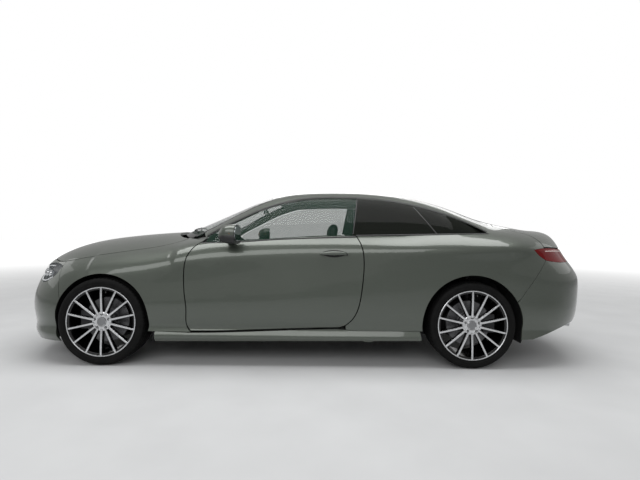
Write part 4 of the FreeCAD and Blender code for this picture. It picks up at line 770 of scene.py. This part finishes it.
scaled_copy("headlamps", 1.0, (0, 0, 0), LENS, "headlamp_lenses", ["headlamps"])
scaled_copy("headlamps", 0.90, (0.034, -0.026, 0), BLACK_SATIN, "headlamp_housings")
lamp = Shape()
LAMP_AIM = Vector((-1, -0.12, 0)).normalized()
for r, y, z, radius in ((-2075, -560, 696, 0.033), (-2010, -655, 700, 0.033), (-1950, -728, 704, 0.026)):
    spot, normal = on_lamp(r, y, z)
    place = aimed(spot - normal * 0.026, LAMP_AIM)
    lamp.lathe([(-0.012, radius * 1.02), (0.006, radius * 1.05), (0.009, radius), (0.006, radius * 0.93),
                (-0.012, radius * 0.93)], place, 0, 48)
    lamp.lathe([(0.0, radius * 0.93), (0.006, radius * 0.80), (0.010, radius * 0.5), (0.0115, 0.0)],
               place, 1, 48, False)
for count, thick, line in (
        (30, 0.0055, ((-2128, -470, 678), (-2085, -590, 648), (-2015, -690, 638), (-1950, -762, 646),
                      (-1890, -800, 672))),
        (24, 0.0045, ((-2122, -478, 722), (-2060, -560, 744), (-1990, -635, 756), (-1915, -712, 762)))):
    path = [spot - normal * 0.010 for spot, normal in (on_lamp(*station) for station in line)]
    lamp.tube(smooth_path(path, count), thick, 2, 8)
twice(lamp).object("headlamp_parts", "body", [CHROME, PROJECTOR, WHITE_LIGHT], "lamp_clear")

tail_skin = skin("tail_lamps")
TAIL_WAY = Vector((-0.55, 0.83, 0.0))
scaled_copy("tail_lamps", 1.0, (0, 0, 0), RED, "tail_lamp_lenses", ["tail_lamps"])
bars = Shape()
BAR_LINE = (2040, -862, 911), (2100, -838, 912), (2200, -775, 910), (2300, -690, 904), (2372, -560, 898)
found = laid(tail_skin, [at(*station) for station in BAR_LINE], TAIL_WAY)
spots = smooth_path([spot for spot, _ in found], 30)
strip(bars, laid(tail_skin, spots, TAIL_WAY), 0.007, 0.0015, 0, 0.0)
twice(bars).object("tail_lamp_bars", "body", [PALE_LENS], "lamp_red")


# Nose and tail details
nose_skin = skin("front_bumper", "bonnet")
tail_end = skin("rear_bumper", "boot_lid")


def round_outline(corners, count):
    """Points along a closed outline of (y, z) corners."""
    steps = [(b[0] - a[0], b[1] - a[1]) for a, b in zip(corners, corners[1:] + corners[:1])]
    lengths = [math.hypot(*step) for step in steps]
    points = []
    for n in range(count):
        rest = sum(lengths) * n / count
        for corner, step, length in zip(corners, steps, lengths):
            if rest <= length:
                points.append((corner[0] + step[0] * rest / length, corner[1] + step[1] * rest / length))
                break
            rest -= length
    return points


def outline_band(shape, corners, count, width, proud, finish):
    found = laid(nose_skin, [at(0, y, z) for y, z in round_outline(corners, count)], BACKWARD)
    found.append(found[0])
    strip(shape, found, width, proud, finish)


nose = Shape()
GRILLE_EDGE = [(-338, 647), (-370, 560), (-306, 462), (306, 462), (370, 560), (338, 647)]
outline_band(nose, GRILLE_EDGE, 140, 0.012, 0.004, 0)
outline_band(nose, [(-436, 387), (-531, 243), (531, 243), (436, 387)], 140, 0.012, 0.003, 1)
nose.tube(smooth_path([at(-2262 + 0.00022 * y**2, y, 556) for y in range(-345, 346, 30)], 60),
          0.009, 0, 12, 1.2)
nose.lathe([(-0.010, 0.0), (-0.010, 0.056), (0.004, 0.056), (0.008, 0.052), (0.006, 0.047), (0.0065, 0.0)],
           shifted(at(-2268, 0, 556)) @ spin(180, "Z"), 0, 64, False)
nose.object("nose_trim", "body", [CHROME, BLACK_GLOSS], "black_plastic")


def plate(name, centre, turned, tilt, support):
    """Blank number plate on a dark carrier; angles in degrees, turned half round at the nose."""
    s = Shape()
    s.brick((0.0, -0.260, -0.055), (0.003, 0.260, 0.055), 0.0012, 0)
    s.brick((-support, -0.264, -0.058), (-0.0002, 0.264, 0.058), 0.002, 1)
    for y in (-0.253, 0.253):
        s.brick((0.0028, y - 0.0015, -0.049), (0.0036, y + 0.0015, 0.049), 0.0003, 1)
    for z in (-0.049, 0.049):
        s.brick((0.0028, -0.2545, z - 0.0015), (0.0036, 0.2545, z + 0.0015), 0.0003, 1)
    place = shifted(centre) @ (spin(turned, "Z") @ spin(tilt, "Y"))
    Shape().join(s, place).object(name, "body", [PLATE, BLACK_SATIN], "black_plastic")


spot = laid(nose_skin, [at(0, 0, 424)], BACKWARD)[0][0]
plate("front_plate", spot + Vector((-0.006, 0, 0)), 180, 0, 0.040)
spot = laid(tail_end, [at(0, 0, 600)], FORWARD)[0][0]
plate("rear_plate", spot + Vector((0.004, 0, 0)), 0, 4, 0.055)

pipes = Shape()
for side in (-1, 1):
    place = aimed(at(2418, side * 469, 286), Vector((0.22, side * 0.09, -0.014)).normalized())
    pipes.lathe([(-0.060, 0.0375), (0.020, 0.0405), (0.026, 0.0400), (0.027, 0.0375), (0.022, 0.0350),
                 (-0.010, 0.0345), (-0.060, 0.0365)], place, 0, 64)
    # A matt black disc closes each pipe just inside its mouth: painted shade standing in for the dark
    # hollow of the pipe
    pipes.lathe([(0.0175, 0.0362), (0.0172, 0.020), (0.017, 0.0)], place, 1, 48, False)
pipes.object("exhaust_tips", "body", [CHROME, BLACK_MATT], "exhaust_metal")


# Seats: leather swollen over its foam by a cloth simulation, with the sewn channels pressed in after
def soft_block(half, power=4.5):
    """Rounded block about the origin, closed by rings that shrink towards its ends."""
    rings = []
    for i in range(33):
        t = math.sin(math.pi / 2 * (i / 16 - 1)) * 0.9995
        share = (1 - abs(t) ** power) ** (1 / power)
        rings.append([(half[0] * t, half[1] * share * signed_power(math.cos(a), 2 / power),
                       half[2] * share * signed_power(math.sin(a), 2 / power)) for a in around(48)])
    return Shape().loft(rings)


def evaluated(item):
    return item.evaluated_get(bpy.context.evaluated_depsgraph_get())


def capped(move, cap):
    return move * (cap / move.length) if move.length > cap else move


SWELL_FRAMES = 20


def swollen(shape, voxel, cap):
    """Corners and faces of the shape after remeshing and a pressure run, moved at most by the cap."""
    mesh = bpy.data.meshes.new("foam")
    mesh.from_pydata([tuple(c) for c in shape.corners], [], [face for face, _, _ in shape.faces])
    foam = linked("foam", mesh)
    remesh = foam.modifiers.new("even", "REMESH")
    remesh.mode = "VOXEL"
    remesh.voxel_size = voxel
    even = bpy.data.meshes.new_from_object(evaluated(foam))
    foam.modifiers.clear()
    foam.data = even
    start = [v.co.copy() for v in even.vertices]
    spots = start
    cloth = foam.modifiers.new("swell", "CLOTH")
    cloth.settings.use_pressure = True
    cloth.settings.uniform_pressure_force = 4.0
    cloth.settings.effector_weights.gravity = 0.0
    cloth.point_cache.frame_start = 1
    cloth.point_cache.frame_end = SWELL_FRAMES
    for frame_number in range(1, SWELL_FRAMES + 1):
        scene.frame_set(frame_number)
    spots = [v.co.copy() for v in evaluated(foam).to_mesh().vertices]
    scene.frame_set(1)
    foam.modifiers.clear()
    drift = sum((b - a for a, b in zip(start, spots)), Vector()) / len(start)
    spots = [a + capped(b - a - drift, cap) for a, b in zip(start, spots)]
    faces = [list(p.vertices) for p in even.polygons]
    bpy.data.objects.remove(foam)
    return spots, faces


def pressed(spots, lines, depth=0.006, width=0.007):
    """Presses sewn channels in: each line gives a distance from a spot and the way to press."""
    moved = []
    for p in spots:
        push = Vector()
        for distance, way in lines:
            push += way * (depth * math.exp(-(distance(p) / width) ** 2))
        moved.append(p + capped(push, depth * 1.2))
    return moved


def cushion(shape, voxel, cap, lines):
    spots, faces = swollen(shape, voxel, cap)
    return Shape().add(pressed(spots, lines), faces)


def leather_piece(name, shape, stands_for):
    """Leather piece with one subdivision applied, drawn for a padded CAD node."""
    raw = shape.object(name, "body", [LEATHER], "seat_leather", (), 180)
    rounder = raw.modifiers.new("rounder", "SUBSURF")
    rounder.levels = rounder.render_levels = 1
    mesh = bpy.data.meshes.new_from_object(evaluated(raw))
    raw.modifiers.clear()
    raw.data = mesh
    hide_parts(stands_for)


def across_lines(axis, spots, way, inside):
    """Channels square to an axis at the given places, inside a region."""
    return [(lambda p, s=s: abs(p[axis] - s) if inside(p) else 1.0, Vector(way)) for s in spots]


SEAT_Y = -378
SEAT_MIDDLE = SEAT_Y / 1000
CHANNEL_SPACING = 60
seat_shape = Shape().join(soft_block((0.256, 0.215, 0.030)), shifted(at(-116, SEAT_Y, 398)))
for shift in (-190, 190):
    seat_shape.join(soft_block((0.245, 0.042, 0.037)), shifted(at(-112, SEAT_Y + shift, 405)))
lines = across_lines(0, [at(r, 0, 0).x for r in range(-290, 71, CHANNEL_SPACING)], DOWN,
                     lambda p: p.z > 0.400 and abs(p.y - SEAT_MIDDLE) < 0.152)
lines += across_lines(1, (SEAT_MIDDLE - 0.155, SEAT_MIDDLE + 0.155), DOWN, lambda p: p.z > 0.40)
leather_piece("seat_pads", twice(cushion(seat_shape, 0.0105, 0.010, lines)), "seat_cushions")

LEAN = spin(20.2, "Y")
back_shape = Shape().join(soft_block((0.036, 0.205, 0.262)))
for shift in (-0.185, 0.185):
    back_shape.join(soft_block((0.040, 0.038, 0.240)), shifted((-0.014, shift, -0.01)))
lines = across_lines(2, [-0.20, -0.14, -0.08, -0.02, 0.04, 0.10, 0.16], BACKWARD,
                     lambda p: p.x < -0.012 and abs(p.y) < 0.145)
lines += across_lines(1, (-0.150, 0.150), BACKWARD, lambda p: p.x < -0.01)
backs = Shape().join(cushion(back_shape, 0.0105, 0.010, lines),
                     shifted(at(252, SEAT_Y, 676)) @ LEAN)
lines = across_lines(2, [-0.035, 0.040], BACKWARD, lambda p: p.x < -0.015)
backs.join(cushion(soft_block((0.040, 0.122, 0.074), 3.2), 0.0095, 0.008, lines),
           shifted(at(366, SEAT_Y, 1046)) @ spin(8, "Y"))
leather_piece("seat_back_pads", twice(backs), "seat_backs")
posts = Shape()
for y in (SEAT_Y - 54, SEAT_Y + 54):
    posts.tube([at(338, y, 925), at(352, y, 960), at(358, y, 1005)], 0.0065, 0, 12)
posts.join(Shape().brick((-0.006, -0.190, -0.20), (0.006, 0.190, 0.20), 0.005, 1),
           shifted(at(315, SEAT_Y, 650)) @ LEAN)
twice(posts).object("headrest_posts", "body", [CHROME, BLACK_SATIN], "seat_leather")

bench_shape = Shape()
for shift in (-285, 285):
    bench_shape.join(soft_block((0.238, 0.262, 0.036)), shifted(at(1112, shift, 488)))
bench_shape.join(soft_block((0.225, 0.09, 0.030)), shifted(at(1112, 0, 486)))
lines = across_lines(0, [at(r, 0, 0).x for r in range(950, 1251, CHANNEL_SPACING)], DOWN,
                     lambda p: p.z > 0.488 and 0.10 < abs(p.y) < 0.46)
leather_piece("bench_pads", cushion(bench_shape, 0.0125, 0.009, lines), "rear_bench")
foot = Shape().brick(at(892, -556, 216), at(985, 556, 456), 0.012, 0)
foot.object("bench_front", "body", [CARPET], "seat_leather")

rest_shape = Shape()
for shift in (-0.290, 0.290):
    rest_shape.join(soft_block((0.034, 0.268, 0.240)), shifted((0, shift, 0)))
rest_shape.join(soft_block((0.028, 0.09, 0.230)), shifted((0.004, 0, 0)))
lines = across_lines(2, [-0.17, -0.11, -0.05, 0.01, 0.07, 0.13], BACKWARD,
                     lambda p: p.x < -0.008 and 0.10 < abs(p.y) < 0.47)
rear_pads = Shape().join(cushion(rest_shape, 0.0125, 0.009, lines),
                         shifted(at(1436, 0, 728)) @ spin(16, "Y"))
leather_piece("backrest_pads", rear_pads, "rear_backrest")


# Cabin details
def bricks(shape, *rows):
    """Rounded boxes, each given by two corners in millimetres, its edge, finish and edge steps."""
    for low, high, edge, finish, *steps in rows:
        shape.brick(at(*low), at(*high), edge, finish, *steps)


dash = Shape()
bricks(dash, ((-612, -585, 880), (-600, 40, 968), 0.006, 1),
       ((-600.5, -578, 886), (-598.5, -270, 962), 0.0008, 2),
       ((-600.5, -250, 886), (-598.5, 34, 962), 0.0008, 2),
       ((-604, -640, 842), (-558, 640, 858), 0.007, 3))
for rim, edge, bore, core, places in ((0.0245, 0.0220, 0.0195, 0.012, (-82, -28, 28, 82)),
                                      (0.034, 0.031, 0.028, 0.018, (-640, 640))):
    for y in places:
        vent = shifted(at(-572, y, 815)) @ Matrix.Rotation(0.12, 4, "Y")
        dash.lathe([(-0.006, rim), (0.004, rim), (0.007, edge), (0.004, bore), (-0.006, bore)], vent, 0, 36)
        dash.lathe([(-0.004, bore), (0.001, core), (0.003, 0.0)], vent, 1, 36, False)
bricks(dash, *(((-575, y, 764), (-562, y + 14, 775), 0.002, 0) for y in range(-66, 49, 19)),
       ((-556, -118, 562), (-330, 118, 572), 0.006, 1), ((-520, -52, 566), (-420, 52, 582), 0.008, 3))
dash.lathe([(0.0, 0.0), (0.0, 0.030), (0.016, 0.028), (0.020, 0.024), (0.020, 0.0)],
           shifted(at(-380, 0, 570)) @ spin(-90, "Y"), 0, 36, False)
bricks(dash, ((-250, -112, 558), (300, -4, 612), 0.020, 4, 3),
       ((-250, 4, 558), (300, 112, 612), 0.020, 4, 3))
for y, half, top in ((-470, 26, 455), (-395, 44, 440)):
    bricks(dash, ((-905, y - half, 395), (-893, y + half, top), 0.005, 1))
    dash.tube([at(-902, y, 440), at(-930, y, 520), at(-960, y, 600)], 0.007, 0, 8)
dash.object("dash_details", "body", [CHROME, BLACK_GLOSS, SCREEN, TRIM, LEATHER], "trim")

hub = Shape()
RIM_RADIUS, RIM_BASE = 0.170, 0.158
rows = []
for a in around(96):
    flat = min(1.0, RIM_BASE / (-math.cos(a) * RIM_RADIUS)) if math.cos(a) < -0.5 else 1.0
    y, z = RIM_RADIUS * flat * math.sin(a), RIM_RADIUS * flat * math.cos(a)
    outward = Vector((0, y, z)).normalized()
    grip = 0.018 if abs(math.degrees(math.atan2(z, y))) % 180 < 60 else 0.0165
    rows.append([Vector((0, y, z)) + outward * (grip * math.cos(b)) + Vector((grip * math.sin(b), 0, 0))
                 for b in around(14)])
hub.grid(rows, 0, close_rows=True, close_columns=True)
hub.loft([[(x, half_y * signed_power(math.cos(b), 0.7), half_z * signed_power(math.sin(b), 0.7) - 0.004)
           for b in around(40)]
          for x, half_y, half_z in ((-0.02, 0.052, 0.048), (0.006, 0.066, 0.060), (0.018, 0.064, 0.058),
                                    (0.026, 0.050, 0.046), (0.029, 0.02, 0.018))], 0)
hub.lathe([(0.0275, 0.026), (0.0305, 0.025), (0.0312, 0.022), (0.0300, 0.0)], Matrix(), 1, 40, False)
SQUARE = ((-1, -1), (1, -1), (1, 1), (-1, 1))
for side in (-1, 1):
    hub.loft([[(x + 0.004 * c, side * y, z + h * d) for c, d in SQUARE]
              for y, x, z, h in ((0.045, 0.010, 0.004, 0.022), (0.100, 0.008, 0.002, 0.016),
                                 (0.160, 0.001, 0.0, 0.013))], 1)
    hub.brick((0.014, side * 0.098 - 0.020, -0.008), (0.019, side * 0.098 + 0.020, 0.012), 0.002, 2)
hub.loft([[(x + 0.004 * c, y * d, z) for c, d in SQUARE]
          for z, x, y in ((-0.045, 0.010, 0.026), (-0.10, 0.006, 0.018), (-0.150, 0.0, 0.020))], 1)
hub.lathe([(-0.20, 0.034), (-0.03, 0.034), (-0.012, 0.046), (0.0, 0.046)], Matrix(), 2, 36, False)
Shape().join(hub, aimed(at(-400, -370, 830), Vector((1, 0, 0.45)))).object(
    "steering_wheel_cover", "body", [LEATHER, ALLOY, BLACK_SATIN], "black_plastic", ["steering_wheel"], 40)

card = Shape()
bricks(card, ((-520, -748.5, 392), (488, -741, 905), 0.003, 0, 2),
       ((-330, -742, 640), (420, -700, 690), 0.016, 1, 3), ((-330, -742, 780), (440, -736, 872), 0.003, 2),
       ((-150, -742, 700), (60, -712, 718), 0.006, 3), ((-430, -742, 410), (360, -712, 500), 0.012, 2, 3))
for k in range(6):
    card.lathe([(depth, edge - k * 0.012) for depth, edge in (
        (0.0, 0.074), (0.003, 0.073), (0.003, 0.069), (0.0, 0.068))],
               shifted(at(-420, -741, 590)) @ spin(90, "Z"), 3, 40)
bricks(card, ((-470, -741, 820), (-380, -731, 838), 0.004, 3))
both("door_card", card, "door", [TRIM, LEATHER, BLACK_SATIN, CHROME], "trim")

cabin = Shape()
foot = laid(screen, [at(-330, 0, 0)], DOWN)[0][0]
for low, high, edge, finish in (((-0.028, -0.030, -0.055), (0.030, 0.030, -0.004), 0.006, 0),
                                ((0.036, -0.120, -0.105), (0.052, 0.120, -0.050), 0.007, 0),
                                ((0.0505, -0.114, -0.100), (0.0532, 0.114, -0.055), 0.001, 1)):
    cabin.brick(foot + Vector(low), foot + Vector(high), edge, finish)
cabin.tube([foot + Vector((0.010, 0, -0.045)), foot + Vector((0.042, 0, -0.078))], 0.007, 0, 10)
cabin.object("cabin_mirror", "body", [BLACK_SATIN, MIRROR_GLASS], "black_plastic")
belts = Shape()
bricks(belts, ((560, -728, 830), (592, -716, 900), 0.006, 0))
path = smooth_path([at(575, -714, 860), at(545, -706, 700), at(500, -690, 520), at(470, -672, 372)], 20)
rows = [[p + Vector((w, 0, 0)) for w in (-0.0235, -0.012, 0.0, 0.012, 0.0235)] for p in path]
belts.grid(rows, 1)
belts.grid([[p + Vector((0, -0.0012, 0)) for p in row] for row in rows], 1)
bricks(belts, ((-60, -150, 400), (-30, -134, 470), 0.004, 0))
twice(belts).object("seat_belts", "body", [BLACK_SATIN, WEBBING], "trim")


# Studio
def stage_material():
    """Pale matt floor that brightens to the white of the background far from the car."""
    f = Finish("floor_paint", lin(206, 207, 208), 0.95)
    f.colour(f.noise(2.0), lin(196, 197, 198), lin(202, 203, 204))
    reach = f.add("ShaderNodeVectorMath", operation="LENGTH")
    f.link(f.where(), reach.inputs[0])
    span = f.add("ShaderNodeMapRange", {"From Min": 3.0, "From Max": 16.0, "To Min": 0.0, "To Max": 0.95},
                 interpolation_type="SMOOTHSTEP")
    f.link(reach.outputs["Value"], span.inputs["Value"])
    f.set("Emission Color", (1.0, 1.0, 1.0, 1.0))
    seen = f.add("ShaderNodeMath", operation="MULTIPLY")
    f.link(span.outputs["Result"], seen.inputs[0])
    f.link(f.add("ShaderNodeLightPath").outputs["Is Camera Ray"], seen.inputs[1])
    f.link(seen.outputs["Value"], f.shader.inputs["Emission Strength"])
    return f.material


def make_studio():
    mesh = bpy.data.meshes.new("floor_stage")
    reach = 40.0
    mesh.from_pydata([(-reach, -reach, 0), (reach, -reach, 0), (reach, reach, 0), (-reach, reach, 0)], [],
                     [(0, 1, 2, 3)])
    mesh.materials.append(stage_material())
    linked("floor_stage", mesh)
    world = bpy.data.worlds.new("studio")
    scene.world = world
    world.use_nodes = True
    tree = world.node_tree
    out = tree.nodes["World Output"]
    light = tree.nodes["Background"]
    light.inputs["Color"].default_value = (0.98, 0.98, 0.97, 1.0)
    light.inputs["Strength"].default_value = 0.38
    seen = tree.nodes.new("ShaderNodeBackground")
    seen.inputs["Color"].default_value = (1.0, 1.0, 1.0, 1.0)
    path = tree.nodes.new("ShaderNodeLightPath")
    mix = tree.nodes.new("ShaderNodeMixShader")
    tree.links.new(path.outputs["Is Camera Ray"], mix.inputs["Fac"])
    tree.links.new(light.outputs["Background"], mix.inputs[1])
    tree.links.new(seen.outputs["Background"], mix.inputs[2])
    tree.links.new(mix.outputs["Shader"], out.inputs["Surface"])
    for label, spot, aim, width, depth, power in (
            ("top_light", (0.0, -0.6, 5.2), (0, 0, 0.5), 7.5, 3.2, 260),
            ("side_light", (-1.5, -7.0, 4.2), (0, 0, 0.6), 8.0, 3.0, 170),
            ("far_light", (1.5, 7.0, 4.0), (0, 0, 0.6), 8.0, 3.0, 130),
            ("nose_light", (-8.0, 0.5, 3.6), (-1.0, 0, 0.5), 6.0, 4.0, 60),
            ("tail_light", (8.0, 0.5, 3.6), (1.0, 0, 0.5), 6.0, 4.0, 35)):
        data = bpy.data.lights.new(label, "AREA")
        data.shape = "RECTANGLE"
        data.size, data.size_y, data.energy = width, depth, power
        lamp = linked(label, data)
        lamp.location = spot
        lamp.rotation_euler = (Vector(aim) - Vector(spot)).to_track_quat("-Z", "Y").to_euler()


make_studio()
